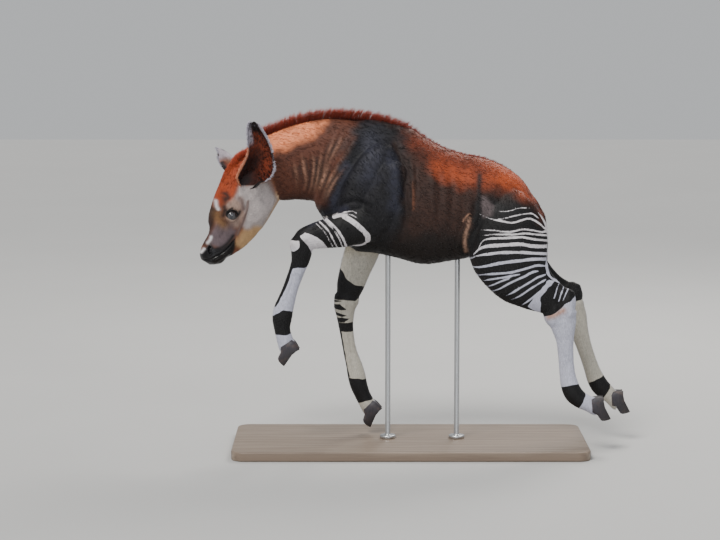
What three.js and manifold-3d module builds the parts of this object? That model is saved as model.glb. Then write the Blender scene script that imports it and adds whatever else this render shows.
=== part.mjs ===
// A leaping okapi calf, life size, held over a flat base by two rods. Millimetres, +Z up.
// The calf faces -X with its left side towards -Y. The origin is the middle of the base's underside.
import * as THREE from 'three';
import { mergeVertices } from 'three/addons/utils/BufferGeometryUtils.js';
import Module from 'manifold-3d';

const wasm = await Module();
wasm.setup();

// Driving sizes
const gap = 0.35; // clearance left where two pieces meet
const left = -1; // the calf's left is towards -Y
const right = 1;
const base = { length: 1060, width: 440, thick: 28, corner: 40, bevel: 4 };
const rod = { radius: 8, collarRadius: 24, collarHigh: 10, top: 800, at: [-66, 142] };
const head = { at: [-460, 0, 877], pitch: 61, yaw: 14 }; // pitch is the nose's angle below level, in degrees
const eye = { along: 186, above: -7, aside: 44, radius: 19, lid: 3.2 };
const maneLock = { step: 15.5, width: 11.5, thick: 5.5, rise: 30, sunk: 12 };
const claw = { halfWidth: 11.8, apart: 12.8, toe: 49, heel: 24, sole: -33 };

const colours = {
  chestnut: ['#4a2a1c', 0.75],
  black: ['#17161a', 0.7],
  russet: ['#8a3c1c', 0.8],
  tan: ['#a58f7c', 0.75],
  earBrown: ['#3a2018', 0.8],
  eyeBlack: ['#0b0a0c', 0.08],
  white: ['#cfc8bd', 0.75],
  horn: ['#3b3535', 0.5],
  board: ['#6e6a64', 0.6],
  steel: ['#b5b7ba', 0.3],
};

const forward = new THREE.Vector3(-1, 0, 0);
const upward = new THREE.Vector3(0, 0, 1);
const forwardDown = new THREE.Vector3(-1, 0, -1).normalize();

// Torso: [x, y, z, up, down, side, taper], from the buttocks to the breast.
// Taper widens the upper half of a section and narrows the lower one.
const torsoStations = [
  [394, 0, 682, 14, 20, 16, 0],
  [380, 0, 686, 40, 50, 42, 0],
  [358, 0, 691, 66, 80, 64, 0],
  [330, 0, 699, 88, 108, 84, 0],
  [278, 0, 716, 124, 136, 97, 0],
  [212, 0, 731, 145, 153, 102, -0.05],
  [137, 0, 738, 156, 172, 104, -0.12],
  [59, 0, 745, 176, 190, 112, -0.15],
  [-16, 0, 757, 201, 183, 113, -0.18],
  [-84, 0, 775, 210, 188, 106, -0.2],
  [-150, 0, 784, 211, 189, 94, -0.16],
  [-205, 0, 783, 182, 168, 82, -0.05],
  [-245, 0, 777, 116, 132, 68, 0],
  [-274, 0, 767, 62, 92, 52, 0],
  [-290, 0, 762, 22, 42, 24, 0],
];

// Neck, from inside the shoulders to inside the head.
const neckStations = [
  [-130, 0, 828, 158, 140, 74, -0.2],
  [-195, 0, 855, 143, 131, 68, -0.16],
  [-245, 0, 870, 129, 128, 59, -0.12],
  [-299, 0, 870, 119, 125, 53, -0.1],
  [-353, 0, 864, 109, 116, 50, -0.1],
  [-401, 0, 855, 98, 110, 48, -0.1],
  [-442, 0, 847, 89, 95, 46, -0.05],
  [-468, 0, 842, 60, 60, 34, 0],
];

// Skull, muzzle and jaw in the head's own frame: x along the face, y to the left, z over the forehead.
const skullStations = [
  [-6, 0, -16, 46, 56, 38, 0],
  [22, 0, -20, 74, 80, 55, 0.02],
  [66, 0, -26, 90, 97, 61, 0.06],
  [112, 0, -28, 90, 95, 61, 0.1],
  [155, 0, -29, 87, 92, 58, 0.16],
  [188, 0, -31, 81, 87, 50, 0.2],
  [217, 0, -35, 75, 77, 41, 0.12],
  [244, 0, -37, 64, 63, 35, 0.02],
  [270, 0, -34, 52, 49, 32, 0],
  [296, 0, -27, 43, 39, 31, 0.03],
  [318, 0, -22, 37, 34, 32, 0.08],
  [334, 0, -19, 29, 28, 28, 0.08],
  [345, 0, -18, 15, 16, 16, 0],
];
const brow = { at: [176, 44, 2], size: [36, 17, 30] };
const cheek = { at: [118, 37, -62], size: [66, 22, 48] };
const earRoot = { at: [72, 40, 2], size: [26, 17, 18] };
const nostril = { at: [312, 27, -1], size: [12, 8, 4.5], turn: 40 };
const chin = { at: [302, 0, -46], size: [34, 22, 19] };
const mouth = { from: [352, -30], to: [266, -63], wide: 2.2, deep: 7 };

// Ears: where each grows, which way it points and which way its cup opens.
const earSize = { thick: 3.6, sweep: 14 };
const earProfile = [
  // [share of the length, arc radius, half angle of the arc in degrees]
  [0, 22, 150],
  [0.14, 27, 132],
  [0.3, 38, 104],
  [0.5, 47, 82],
  [0.7, 46, 68],
  [0.86, 35, 60],
  [0.95, 21, 56],
  [1, 6, 50],
];
const ears = {
  left: { at: [-474, -44, 818], points: [8, -78, 170], opens: [-0.3, -0.95, 0], bow: 36 },
  right: { at: [-508, 44, 822], points: [-64, 158, 64], opens: [-0.75, 0.2, -0.35], bow: 0 },
};

// Limbs: [x, y, z, front, back, side, taper]
const limbs = {
  foreLeft: {
    reach: [
      [-80, -66, 705, 60, 50, 30, 0],
      [-118, -76, 694, 64, 60, 42, 0],
      [-162, -83, 681, 58, 57, 43, 0],
      [-200, -85, 670, 53, 53, 39, 0],
      [-240, -85, 661, 47, 47, 35, 0],
      [-283, -84, 652, 40, 40, 31, 0],
      [-318, -83, 640, 34, 34, 29, 0],
      [-342, -82, 628, 18, 20, 17, 0],
    ],
    shank: [
      [-320, -82, 658, 16, 16, 15, 0],
      [-322, -82, 634, 36, 32, 29, 0],
      [-322, -82, 606, 34, 32, 28, 0],
      [-326, -81, 580, 29, 28, 24, 0],
      [-335, -81, 553, 25, 25, 20, 0],
      [-348, -80, 518, 24, 24, 18.5, 0],
      [-358, -80, 488, 25, 24, 19, 0],
      [-368, -80, 458, 28, 27, 21, 0],
      [-377, -80, 430, 31, 30, 24, 0],
      [-381, -80, 404, 31, 30, 25, 0],
      [-381, -80, 376, 26, 25, 22, 0],
      [-376, -80, 350, 25, 25, 21.5, 0],
      [-366, -80, 320, 27, 27, 22, 0],
      [-358, -80, 298, 22, 22, 18, 0],
    ],
    reachFront: upward,
    shankFront: forward,
    hoof: { at: [-367, -80, 322], toe: [-0.763, -0.647] },
  },
  foreRight: {
    reach: [
      [-96, 64, 700, 46, 46, 30, 0],
      [-114, 73, 660, 58, 55, 41, 0],
      [-132, 74, 623, 57, 55, 41, 0],
      [-147, 73, 580, 54, 53, 38, 0],
      [-160, 72, 546, 50, 50, 35, 0],
      [-169, 72, 516, 47, 46, 33, 0],
      [-179, 71, 483, 43, 42, 31, 0],
      [-189, 70, 450, 34, 34, 26, 0],
    ],
    shank: [
      [-184, 70, 470, 28, 28, 22, 0],
      [-189, 70, 447, 40, 39, 29, 0],
      [-195, 70, 421, 36, 35, 28, 0],
      [-195, 70, 394, 29, 29, 24, 0],
      [-193, 70, 363, 24, 24, 20, 0],
      [-189, 70, 332, 22, 22, 18.5, 0],
      [-184, 70, 301, 21.5, 21.5, 18, 0],
      [-177, 70, 270, 23, 23, 19, 0],
      [-168, 70, 240, 26, 26, 21, 0],
      [-160, 70, 208, 29, 28, 24, 0],
      [-153, 70, 178, 28, 27, 24, 0],
      [-143, 70, 150, 25, 25, 22, 0],
      [-131, 70, 126, 25, 25, 22, 0],
      [-114, 70, 98, 26, 26, 22, 0],
      [-104, 70, 80, 18, 18, 16, 0],
    ],
    reachFront: forward,
    shankFront: forward,
    hoof: { at: [-120, 70, 109], toe: [-0.625, -0.78] },
  },
  hindLeft: {
    reach: [
      [292, -50, 782, 46, 44, 24, 0],
      [286, -62, 745, 86, 82, 42, 0],
      [284, -70, 694, 110, 106, 50, 0],
      [288, -74, 644, 122, 112, 51, 0],
      [300, -76, 594, 122, 104, 48, 0],
      [328, -77, 543, 104, 88, 43, 0],
      [368, -77, 507, 84, 66, 36, 0],
      [408, -77, 479, 66, 50, 30, 0],
      [442, -77, 458, 50, 42, 27, 0],
      [462, -77, 442, 28, 26, 20, 0],
    ],
    shank: [
      [476, -77, 490, 16, 14, 12, 0],
      [463, -77, 466, 44, 34, 24, 0],
      [448, -77, 440, 52, 48, 29, 0],
      [447, -77, 415, 53, 49, 29, 0],
      [453, -76, 390, 42, 42, 26, 0],
      [457, -76, 364, 34, 34, 23.5, 0],
      [460, -76, 339, 28, 28, 21, 0],
      [462, -76, 309, 25, 25, 19.5, 0],
      [465, -75, 270, 24, 24, 19, 0],
      [469, -75, 235, 25, 25, 20, 0],
      [476, -75, 203, 28, 28, 23, 0],
      [488, -75, 177, 29, 29, 25, 0],
      [508, -75, 159, 27, 27, 23, 0],
      [530, -75, 148, 25, 25, 22, 0],
      [556, -75, 137, 27, 27, 22, 0],
      [576, -75, 129, 18, 18, 16, 0],
    ],
    reachFront: forwardDown,
    shankFront: forwardDown,
    hoof: { at: [546, -75, 139], toe: [0.2, -0.98] },
  },
  hindRight: {
    reach: [
      [300, 50, 782, 46, 46, 22, 0],
      [298, 61, 745, 86, 88, 39, 0],
      [298, 68, 694, 106, 112, 45, 0],
      [306, 72, 644, 114, 114, 47, 0],
      [325, 75, 594, 114, 100, 46, 0],
      [358, 77, 545, 100, 68, 42, 0],
      [400, 77, 510, 82, 47, 35, 0],
      [440, 77, 482, 66, 36, 30, 0],
      [474, 77, 460, 52, 36, 27, 0],
      [494, 77, 444, 30, 26, 20, 0],
    ],
    shank: [
      [508, 77, 490, 16, 14, 12, 0],
      [498, 77, 468, 44, 34, 24, 0],
      [486, 77, 442, 52, 46, 29, 0],
      [489, 77, 416, 51, 46, 29, 0],
      [502, 76, 390, 41, 40, 26, 0],
      [512, 76, 362, 33, 33, 23.5, 0],
      [521, 76, 334, 28, 28, 21, 0],
      [532, 76, 300, 25, 25, 19.5, 0],
      [545, 75, 262, 24, 24, 19, 0],
      [557, 75, 228, 25, 25, 20, 0],
      [569, 75, 198, 28, 28, 23, 0],
      [584, 75, 173, 29, 29, 25, 0],
      [603, 75, 155, 27, 27, 23, 0],
      [618, 75, 141, 25, 25, 22, 0],
      [640, 75, 122, 27, 27, 22, 0],
      [654, 75, 108, 18, 18, 16, 0],
    ],
    reachFront: forwardDown,
    shankFront: forwardDown,
    hoof: { at: [622, 75, 132], toe: [0.2, -0.98] },
  },
};

// Shoulder blade and upper arm lie on the ribs, one strip each, for a side of -1 or 1.
const shoulderStations = [
  [-66, 52, 920, 16, 16, 14, 0],
  [-76, 60, 902, 42, 40, 24, 0],
  [-100, 72, 862, 56, 54, 30, 0],
  [-130, 79, 812, 60, 62, 32, 0],
  [-156, 78, 765, 56, 66, 33, 0],
  [-174, 74, 722, 44, 60, 31, 0],
  [-182, 68, 690, 20, 30, 18, 0],
];
const upperArmStations = [
  [-44, 86, 872, 18, 18, 12, 0],
  [-50, 93, 848, 42, 38, 24, 0],
  [-64, 95, 790, 62, 48, 29, 0],
  [-84, 93, 735, 66, 50, 31, 0],
  [-92, 86, 690, 52, 44, 28, 0],
  [-98, 78, 660, 26, 24, 18, 0],
];

const tailStations = [
  [345, 0, 760, 12, 12, 12, 0],
  [368, 0, 744, 13, 13, 13, 0],
  [386, 0, 710, 12, 12, 12, 0],
  [398, 0, 672, 10.5, 10.5, 10.5, 0],
  [404, 0, 628, 9, 9, 9, 0],
  [405, 0, 588, 8, 8, 8, 0],
  [403, 0, 560, 5, 5, 5, 0],
];

// The top line of the skin that carries the mane, and the line between the ears that carries the forelock.
const crest = [
  [-474, 0, 926],
  [-440, 0, 947],
  [-390, 0, 961],
  [-330, 0, 984],
  [-250, 0, 1000],
  [-160, 0, 999],
  [-84, 0, 985],
  [-16, 0, 958],
  [59, 0, 921],
  [137, 0, 894],
  [212, 0, 876],
  [276, 0, 840],
  [318, 0, 798],
];
// Height of the mane along that line: [share of the line, share of the full height]
const maneHeights = [
  [0, 0.9],
  [0.12, 1.25],
  [0.25, 0.95],
  [0.42, 0.9],
  [0.55, 1.2],
  [0.62, 0.75],
  [0.7, 0.25],
  [0.8, 0.15],
  [0.87, 0.45],
  [0.93, 0.8],
  [0.96, 0.75],
  [1, 0.3],
];

// Cuts between head and neck, and between neck and torso: a point on each and the way towards the tail.
const headCut = { at: [-444, 0, 952], towards: [0.965, 0, 0.262] };
const neckCut = { at: [-144, 0, 1009], towards: [0.928, 0, -0.374] };

function solidOf(geometry) {
  const bare = geometry.clone();
  bare.deleteAttribute('normal');
  bare.deleteAttribute('uv');
  const merged = mergeVertices(bare, 1e-3);
  return new wasm.Manifold(
    new wasm.Mesh({
      numProp: 3,
      vertProperties: new Float32Array(merged.attributes.position.array),
      triVerts: new Uint32Array(merged.index.array),
    }),
  );
}

function geometryOf(solid) {
  const mesh = solid.getMesh();
  const geometry = new THREE.BufferGeometry();
  geometry.setAttribute('position', new THREE.BufferAttribute(mesh.vertProperties, 3));
  geometry.setIndex(new THREE.BufferAttribute(mesh.triVerts, 1));
  geometry.computeVertexNormals();
  return geometry;
}

const joined = (solids) => solids.reduce((sum, piece) => sum.add(piece));

// The largest closed surface of a solid.
function largest(solid) {
  return solid.decompose().reduce((best, piece) => (piece.volume() > best.volume() ? piece : best));
}

function closedMesh(positions, triangles) {
  const geometry = new THREE.BufferGeometry();
  geometry.setAttribute('position', new THREE.Float32BufferAttribute(positions, 3));
  geometry.setIndex(triangles);
  return geometry;
}

// A closed skin swept through stations, smooth between them; front is the side that the 'up' size is measured to.
function loft(stations, { front = upward, sides = 14, rings = 1, grow = 0 } = {}) {
  const pick = (a, b, c) => stations.map((s) => new THREE.Vector3(s[a], s[b], s[c]));
  const path = new THREE.CatmullRomCurve3(pick(0, 1, 2), false, 'catmullrom', 0.5);
  const sizes = new THREE.CatmullRomCurve3(pick(3, 4, 5), false, 'catmullrom', 0.5);
  const count = (stations.length - 1) * rings;
  const positions = [];
  const triangles = [];
  for (let i = 0; i <= count; i += 1) {
    const t = i / count;
    const centre = path.getPoint(t);
    const size = sizes.getPoint(t);
    const step = 0.01;
    const tangent = path
      .getPoint(Math.min(1, t + step))
      .sub(path.getPoint(Math.max(0, t - step)))
      .normalize();
    const up = front.clone().addScaledVector(tangent, -front.dot(tangent)).normalize();
    const side = tangent.clone().cross(up);
    const place = t * (stations.length - 1);
    const from = Math.min(stations.length - 2, Math.floor(place));
    const taper = THREE.MathUtils.lerp(stations[from][6], stations[from + 1][6], place - from);
    for (let j = 0; j < sides; j += 1) {
      const angle = (j / sides) * 2 * Math.PI;
      const high = Math.sin(angle);
      const wide = Math.cos(angle) * (size.z + grow) * (1 + taper * high);
      const point = centre
        .clone()
        .addScaledVector(up, high * ((high > 0 ? size.x : size.y) + grow))
        .addScaledVector(side, wide);
      positions.push(point.x, point.y, point.z);
    }
  }
  for (let i = 0; i < count; i += 1) {
    for (let j = 0; j < sides; j += 1) {
      const a = i * sides + j;
      const b = i * sides + ((j + 1) % sides);
      triangles.push(a, a + sides, b, b, a + sides, b + sides);
    }
  }
  const ends = [path.getPoint(0), path.getPoint(1)];
  const first = positions.length / 3;
  ends.forEach((end) => positions.push(end.x, end.y, end.z));
  const last = count * sides;
  for (let j = 0; j < sides; j += 1) {
    const next = (j + 1) % sides;
    triangles.push(first, j, next, first + 1, last + next, last + j);
  }
  return solidOf(closedMesh(positions, triangles));
}

function ball(at, size, around = 14) {
  const geometry = new THREE.SphereGeometry(1, around, Math.round(around * 0.7));
  geometry.rotateX(Math.PI / 2).scale(...size).translate(...at);
  return solidOf(geometry);
}

// The head's frame: x along the face to the nose, y to the calf's left, z over the forehead.
function headFrame() {
  const pitch = THREE.MathUtils.degToRad(head.pitch);
  const along = new THREE.Vector3(-Math.cos(pitch), 0, -Math.sin(pitch));
  const over = new THREE.Vector3(-Math.sin(pitch), 0, Math.cos(pitch));
  const aside = over.clone().cross(along);
  const turn = new THREE.Matrix4().makeRotationZ(THREE.MathUtils.degToRad(head.yaw));
  const axes = new THREE.Matrix4().makeBasis(along, aside, over);
  return new THREE.Matrix4().makeTranslation(...head.at).multiply(turn).multiply(axes);
}
const headMatrix = headFrame();
const toHead = (solid) => solid.transform(headMatrix.toArray());
const bothSides = (make) => [make(1), make(-1)];

function skullShape(grow) {
  const bumps = [brow, cheek, earRoot].flatMap(({ at, size }) =>
    bothSides((side) => ball([at[0], at[1] * side, at[2]], size.map((s) => s + grow), 12)),
  );
  const jaw = ball(chin.at, chin.size.map((s) => s + grow), 12);
  return joined([loft(skullStations, { sides: 20, rings: 2, grow }), jaw, ...bumps]);
}

// The slit between the lips, cut only as deep as the lips are thick.
function mouthSlit() {
  const [x0, z0] = mouth.from;
  const [x1, z1] = mouth.to;
  const line = new THREE.CatmullRomCurve3([
    new THREE.Vector3(x0, 0, z0),
    new THREE.Vector3(x0 * 0.62 + x1 * 0.38, 0, z0 * 0.55 + z1 * 0.45 - 5),
    new THREE.Vector3(x1, 0, z1),
  ]);
  const section = new THREE.Shape();
  section.moveTo(-mouth.wide / 2, -50);
  section.lineTo(mouth.wide / 2, -50);
  section.lineTo(mouth.wide / 2, 50);
  section.lineTo(-mouth.wide / 2, 50);
  const plate = new THREE.ExtrudeGeometry(section, { steps: 6, extrudePath: line });
  return solidOf(plate).subtract(loft(skullStations, { sides: 12, grow: -mouth.deep }));
}

function nostrilHole(side) {
  const geometry = new THREE.SphereGeometry(1, 12, 8);
  geometry.scale(...nostril.size);
  geometry.rotateY(THREE.MathUtils.degToRad(nostril.turn));
  geometry.translate(nostril.at[0], nostril.at[1] * side, nostril.at[2]);
  return solidOf(geometry);
}

const eyeCentre = (side) => [eye.along, eye.aside * side, eye.above];

// The almond between the lids, driven outwards from the eye's middle.
function lidOpening(side) {
  const half = 15.5;
  const rise = 10.5;
  const almond = new THREE.Shape();
  almond.moveTo(-half, 2);
  almond.quadraticCurveTo(-2, rise * 1.7, half, -2);
  almond.quadraticCurveTo(0, -rise * 1.6, -half, 2);
  const geometry = new THREE.ExtrudeGeometry(almond, { depth: 60, bevelEnabled: false, curveSegments: 7 });
  geometry.rotateX(Math.PI / 2);
  geometry.scale(1, -side, 1);
  const solid = geometry.index ? geometry : mergeVertices(geometry);
  if (side > 0) flip(solid);
  solid.translate(eye.along, eye.aside * side, eye.above);
  return solidOf(solid);
}

function flip(geometry) {
  const index = geometry.index.array;
  for (let i = 0; i < index.length; i += 3) [index[i + 1], index[i + 2]] = [index[i + 2], index[i + 1]];
}

function headSolid() {
  const lids = bothSides((side) => ball(eyeCentre(side), Array(3).fill(eye.radius + eye.lid)));
  const openings = bothSides(lidOpening);
  const sockets = bothSides((side) => ball(eyeCentre(side), Array(3).fill(eye.radius + gap)));
  let solid = joined([skullShape(0), ...lids]);
  [...openings, ...sockets, mouthSlit(), nostrilHole(1), nostrilHole(-1)].forEach((cut) => {
    solid = solid.subtract(cut);
  });
  return toHead(solid);
}

// One ear: a leaf rolled to a tube at its root and opening to a shallow cup.
function earSolid({ at, points, opens, bow }) {
  const axis = new THREE.Vector3(...points);
  const length = axis.length();
  axis.normalize();
  const open = new THREE.Vector3(...opens);
  open.addScaledVector(axis, -open.dot(axis)).normalize();
  const across = axis.clone().cross(open);
  const start = new THREE.Vector3(...at);
  const [along, arcs] = [10, 10];
  const profile = new THREE.CatmullRomCurve3(earProfile.map((p) => new THREE.Vector3(...p)));
  const skin = (inner) => {
    const points = [];
    for (let i = 0; i <= along; i += 1) {
      const { x: share, y: radius, z: degrees } = profile.getPoint(i / along);
      const half = THREE.MathUtils.degToRad(degrees);
      const thick = earSize.thick * (1 - 0.55 * share);
      const middle = start
        .clone()
        .addScaledVector(axis, length * share)
        .addScaledVector(across, bow * Math.sin(share ** 0.8 * Math.PI))
        .addScaledVector(open, radius - earSize.sweep * Math.sin(share * Math.PI));
      for (let j = 0; j <= arcs; j += 1) {
        const angle = half * ((2 * j) / arcs - 1) * (inner ? 0.985 : 1);
        const reach = radius - (inner ? Math.min(thick, radius * 0.5) : 0);
        points.push(
          middle
            .clone()
            .addScaledVector(open, -Math.cos(angle) * reach)
            .addScaledVector(across, Math.sin(angle) * reach),
        );
      }
    }
    return points;
  };
  const positions = [...skin(false), ...skin(true)].flatMap((p) => [p.x, p.y, p.z]);
  const row = arcs + 1;
  const inside = row * (along + 1);
  const triangles = [];
  const quad = (a, b, c, d) => triangles.push(a, b, c, a, c, d);
  for (let i = 0; i < along; i += 1) {
    for (let j = 0; j < arcs; j += 1) {
      const a = i * row + j;
      quad(a, a + row, a + row + 1, a + 1);
      quad(inside + a, inside + a + 1, inside + a + row + 1, inside + a + row);
    }
    const [low, high] = [i * row, i * row + arcs];
    quad(low, inside + low, inside + low + row, low + row);
    quad(high, high + row, inside + high + row, inside + high);
  }
  for (let j = 0; j < arcs; j += 1) {
    const top = along * row + j;
    quad(j, j + 1, inside + j + 1, inside + j);
    quad(top, inside + top, inside + top + 1, top + 1);
  }
  let solid = solidOf(closedMesh(positions, triangles));
  if (solid.volume() < 0) {
    const turned = [];
    for (let i = 0; i < triangles.length; i += 3) turned.push(triangles[i], triangles[i + 2], triangles[i + 1]);
    solid = solidOf(closedMesh(positions, turned));
  }
  return solid;
}

// Locks of hair: flat, tapered and bent along the lie.
const repeatable = (seed) => () => {
  seed = (seed * 16807) % 2147483647;
  return seed / 2147483647;
};

function lock({ root, out, lie, length, width, thick }) {
  const stations = [0, 0.35, 0.7, 1].map((t) => {
    const point = new THREE.Vector3(...root)
      .addScaledVector(out, length * t * (1 - 0.1 * t))
      .addScaledVector(lie, length * 0.38 * t * t);
    const breadth = 1 - 0.86 * t ** 2;
    return [point.x, point.y, point.z, width * breadth, width * breadth, thick * breadth, 0];
  });
  return loft(stations, { front: lie, sides: 5 });
}

function heightAt(share) {
  const k = maneHeights.findIndex(([s]) => s >= share);
  const [s1, h1] = maneHeights[Math.max(1, k)];
  const [s0, h0] = maneHeights[Math.max(1, k) - 1];
  return THREE.MathUtils.lerp(h0, h1, (share - s0) / (s1 - s0));
}

function maneLocks() {
  const random = repeatable(11);
  const shortest = 0.3;
  const line = new THREE.CatmullRomCurve3(crest.map((p) => new THREE.Vector3(...p)));
  const count = Math.round(line.getLength() / maneLock.step);
  const locks = [];
  for (let i = 0; i <= count; i += 1) {
    const share = i / count;
    const high = heightAt(share);
    if (high < shortest) continue;
    const lie = line.getTangentAt(share);
    const out = new THREE.Vector3(-lie.z, 0, lie.x);
    const root = line.getPointAt(share).addScaledVector(out, -maneLock.sunk);
    const vary = 0.88 + 0.24 * random();
    out.y += (random() - 0.5) * 0.22;
    locks.push(
      lock({
        root: root.toArray(),
        out,
        lie,
        length: (maneLock.sunk + maneLock.rise * high) * vary,
        width: maneLock.width * (0.9 + 0.3 * random()),
        thick: maneLock.thick,
      }),
    );
  }
  return locks;
}

function forelockLocks() {
  const random = repeatable(5);
  const matrix = headMatrix;
  const locks = [];
  for (let row = 0; row < 3; row += 1) {
    for (let k = -1; k <= 1; k += 1) {
      const root = new THREE.Vector3(26 + row * 26, k * 15 + (random() - 0.5) * 5, 52 - Math.abs(k) * 4);
      const out = new THREE.Vector3(-0.25, 0.16 * k, 1).transformDirection(matrix);
      const lie = new THREE.Vector3(-1, 0.15 * k, 0).transformDirection(matrix);
      root.applyMatrix4(matrix);
      locks.push(
        lock({
          root: root.toArray(),
          out,
          lie,
          length: (30 - row * 4) * (0.85 + 0.3 * random()),
          width: 7.5,
          thick: 5,
        }),
      );
    }
  }
  return locks;
}

function tailLocks() {
  const random = repeatable(23);
  const locks = [];
  for (let k = 0; k < 6; k += 1) {
    const angle = (k / 6) * 2 * Math.PI;
    const aside = new THREE.Vector3(Math.cos(angle), Math.sin(angle), 0);
    const root = [404 + 2.5 * aside.x, 2.5 * aside.y, 584 - 4 * (k % 3)];
    const out = new THREE.Vector3(0.16 * aside.x, 0.16 * aside.y, -1).normalize();
    const lie = aside.clone().multiplyScalar(0.14).add(new THREE.Vector3(0, 0, -0.5)).normalize();
    locks.push(lock({ root, out, lie, length: 52 + 14 * random(), width: 5.5, thick: 5 }));
  }
  return locks;
}

const planeOffset = ({ at, towards }) => at[0] * towards[0] + at[1] * towards[1] + at[2] * towards[2];
const behind = (solid, cut) => solid.trimByPlane(cut.towards, planeOffset(cut) + gap / 2);
const ahead = (solid, cut) =>
  solid.trimByPlane(cut.towards.map((n) => -n), -planeOffset(cut) + gap / 2);

const trunk = (grow) =>
  joined([
    loft(torsoStations, { sides: 22, rings: 2, grow }),
    loft(neckStations, { sides: 18, rings: 2, grow }),
    toHead(skullShape(grow)),
  ]);

// A hoof's own frame: x to the toe, y to the left, z from the sole up to the leg.
function hoofFrame({ at, toe }) {
  const ahead = new THREE.Vector3(toe[0], 0, toe[1]).normalize();
  const aside = new THREE.Vector3(0, left, 0);
  const up = ahead.clone().cross(aside);
  if (up.dot(new THREE.Vector3(-1, 0, 0.2)) < 0) {
    up.negate();
    aside.negate();
  }
  return new THREE.Matrix4().makeTranslation(...at).multiply(new THREE.Matrix4().makeBasis(ahead, aside, up));
}

// The coronet leans down to the heel; its middle is the hoof's origin.
const coronetLean = THREE.MathUtils.degToRad(18);
function coronet(hoof) {
  const frame = hoofFrame(hoof);
  const towards = new THREE.Vector3(-Math.sin(coronetLean), 0, Math.cos(coronetLean)).transformDirection(frame);
  return { at: hoof.at, towards: towards.toArray() };
}

function clawSolid(hoof, side) {
  const { halfWidth, toe, heel, sole } = claw;
  const stations = [
    [0, 0, sole, toe, heel, halfWidth, 0],
    [-1, 0, sole + 3, toe - 1, heel, halfWidth, 0],
    [-3, 0, -14, toe - 9, heel - 1, halfWidth + 0.4, 0],
    [-6, 0, 16, toe - 22, heel - 2, halfWidth, 0],
  ];
  const block = loft(stations, { front: new THREE.Vector3(1, 0, 0) });
  const turn = new THREE.Matrix4().makeRotationZ(THREE.MathUtils.degToRad(-3.5 * side));
  const frame = hoofFrame(hoof)
    .multiply(new THREE.Matrix4().makeTranslation(0, claw.apart * side, 0))
    .multiply(turn);
  return ahead(block.transform(frame.toArray()), coronet(hoof));
}

function limbSolid({ reach, shank, reachFront, shankFront, hoof }, extras = []) {
  const upper = loft(reach, { front: reachFront, sides: 16 });
  const lower = loft(shank, { front: shankFront });
  return behind(joined([upper, lower, ...extras]), coronet(hoof));
}

const onSide = (stations, side) => stations.map(([x, y, ...rest]) => [x, y * side, ...rest]);
const shoulder = (side) => [
  loft(onSide(shoulderStations, side), { front: forward }),
  loft(onSide(upperArmStations, side), { front: forward }),
];

function baseSolid() {
  const { length, width, thick, corner, bevel } = base;
  const outline = new THREE.Shape();
  const [x, y] = [length / 2 - bevel, width / 2 - bevel];
  outline.moveTo(-x + corner, -y);
  outline.lineTo(x - corner, -y);
  outline.absarc(x - corner, -y + corner, corner, -Math.PI / 2, 0);
  outline.lineTo(x, y - corner);
  outline.absarc(x - corner, y - corner, corner, 0, Math.PI / 2);
  outline.lineTo(-x + corner, y);
  outline.absarc(-x + corner, y - corner, corner, Math.PI / 2, Math.PI);
  outline.lineTo(-x, -y + corner);
  outline.absarc(-x + corner, -y + corner, corner, Math.PI, 1.5 * Math.PI);
  const geometry = new THREE.ExtrudeGeometry(outline, {
    depth: thick - 2 * bevel,
    bevelThickness: bevel,
    bevelSize: bevel,
    bevelSegments: 1,
    curveSegments: 4,
  });
  return solidOf(geometry.translate(0, 0, bevel));
}

function rodSolid(x, body) {
  const foot = base.thick + gap;
  const { radius, collarRadius, collarHigh, top } = rod;
  const profile = [
    [0, foot],
    [collarRadius, foot],
    [collarRadius, foot + collarHigh - 2],
    [collarRadius - 2, foot + collarHigh],
    [radius, foot + collarHigh],
    [radius, top],
    [0, top],
  ].map(([r, z]) => new THREE.Vector2(r, z));
  const geometry = new THREE.LatheGeometry(profile, 16);
  geometry.rotateX(Math.PI / 2).translate(x, 0, 0);
  return solidOf(geometry).subtract(body);
}

// Assembly
const body = joined([
  loft(torsoStations, { sides: 22, rings: 2 }),
  loft(neckStations, { sides: 18, rings: 2 }),
]);
const wholeHead = headSolid();
const grownTrunk = trunk(gap);
const mane = joined(maneLocks());
const clearOfTail = loft(tailStations, { front: forward, sides: 10, grow: gap });

const parts = {
  torso: [largest(behind(body.add(mane), neckCut)), 'chestnut'],
  neck: [largest(ahead(behind(body.add(mane), headCut), neckCut)), 'chestnut'],
  head: [largest(ahead(joined([body, wholeHead, mane, ...forelockLocks()]), headCut)), 'tan'],
};
// The lids and sockets are cut again, because the neck's front end fills the skull's back.
const limbNodes = {
  leg_fore_left: [limbs.foreLeft, shoulder(left)],
  leg_fore_right: [limbs.foreRight, shoulder(right)],
  leg_hind_left: [limbs.hindLeft, []],
  leg_hind_right: [limbs.hindRight, []],
};
for (const [name, [limb, extras]] of Object.entries(limbNodes)) {
  parts[name] = [largest(limbSolid(limb, extras).subtract(grownTrunk).subtract(clearOfTail)), 'white'];
  [1, -1].forEach((side) => {
    const claws = name.replace('leg', 'claw') + (side > 0 ? '_a' : '_b');
    parts[claws] = [clawSolid(limb.hoof, side), 'horn'];
  });
}
parts.tail = [
  largest(joined([loft(tailStations, { front: forward, sides: 10 }), ...tailLocks()]).subtract(grownTrunk)),
  'chestnut',
];
for (const [name, ear] of Object.entries(ears)) {
  parts[`ear_${name}`] = [largest(earSolid(ear).subtract(grownTrunk)), 'earBrown'];
}
bothSides((side) => {
  const name = side > 0 ? 'eye_left' : 'eye_right';
  parts[name] = [toHead(ball(eyeCentre(side), Array(3).fill(eye.radius))), 'eyeBlack'];
});
parts.stand_base = [baseSolid(), 'board'];
rod.at.forEach((x, i) => {
  parts[i ? 'stand_rod_rear' : 'stand_rod_front'] = [rodSolid(x, grownTrunk), 'steel'];
});

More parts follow.
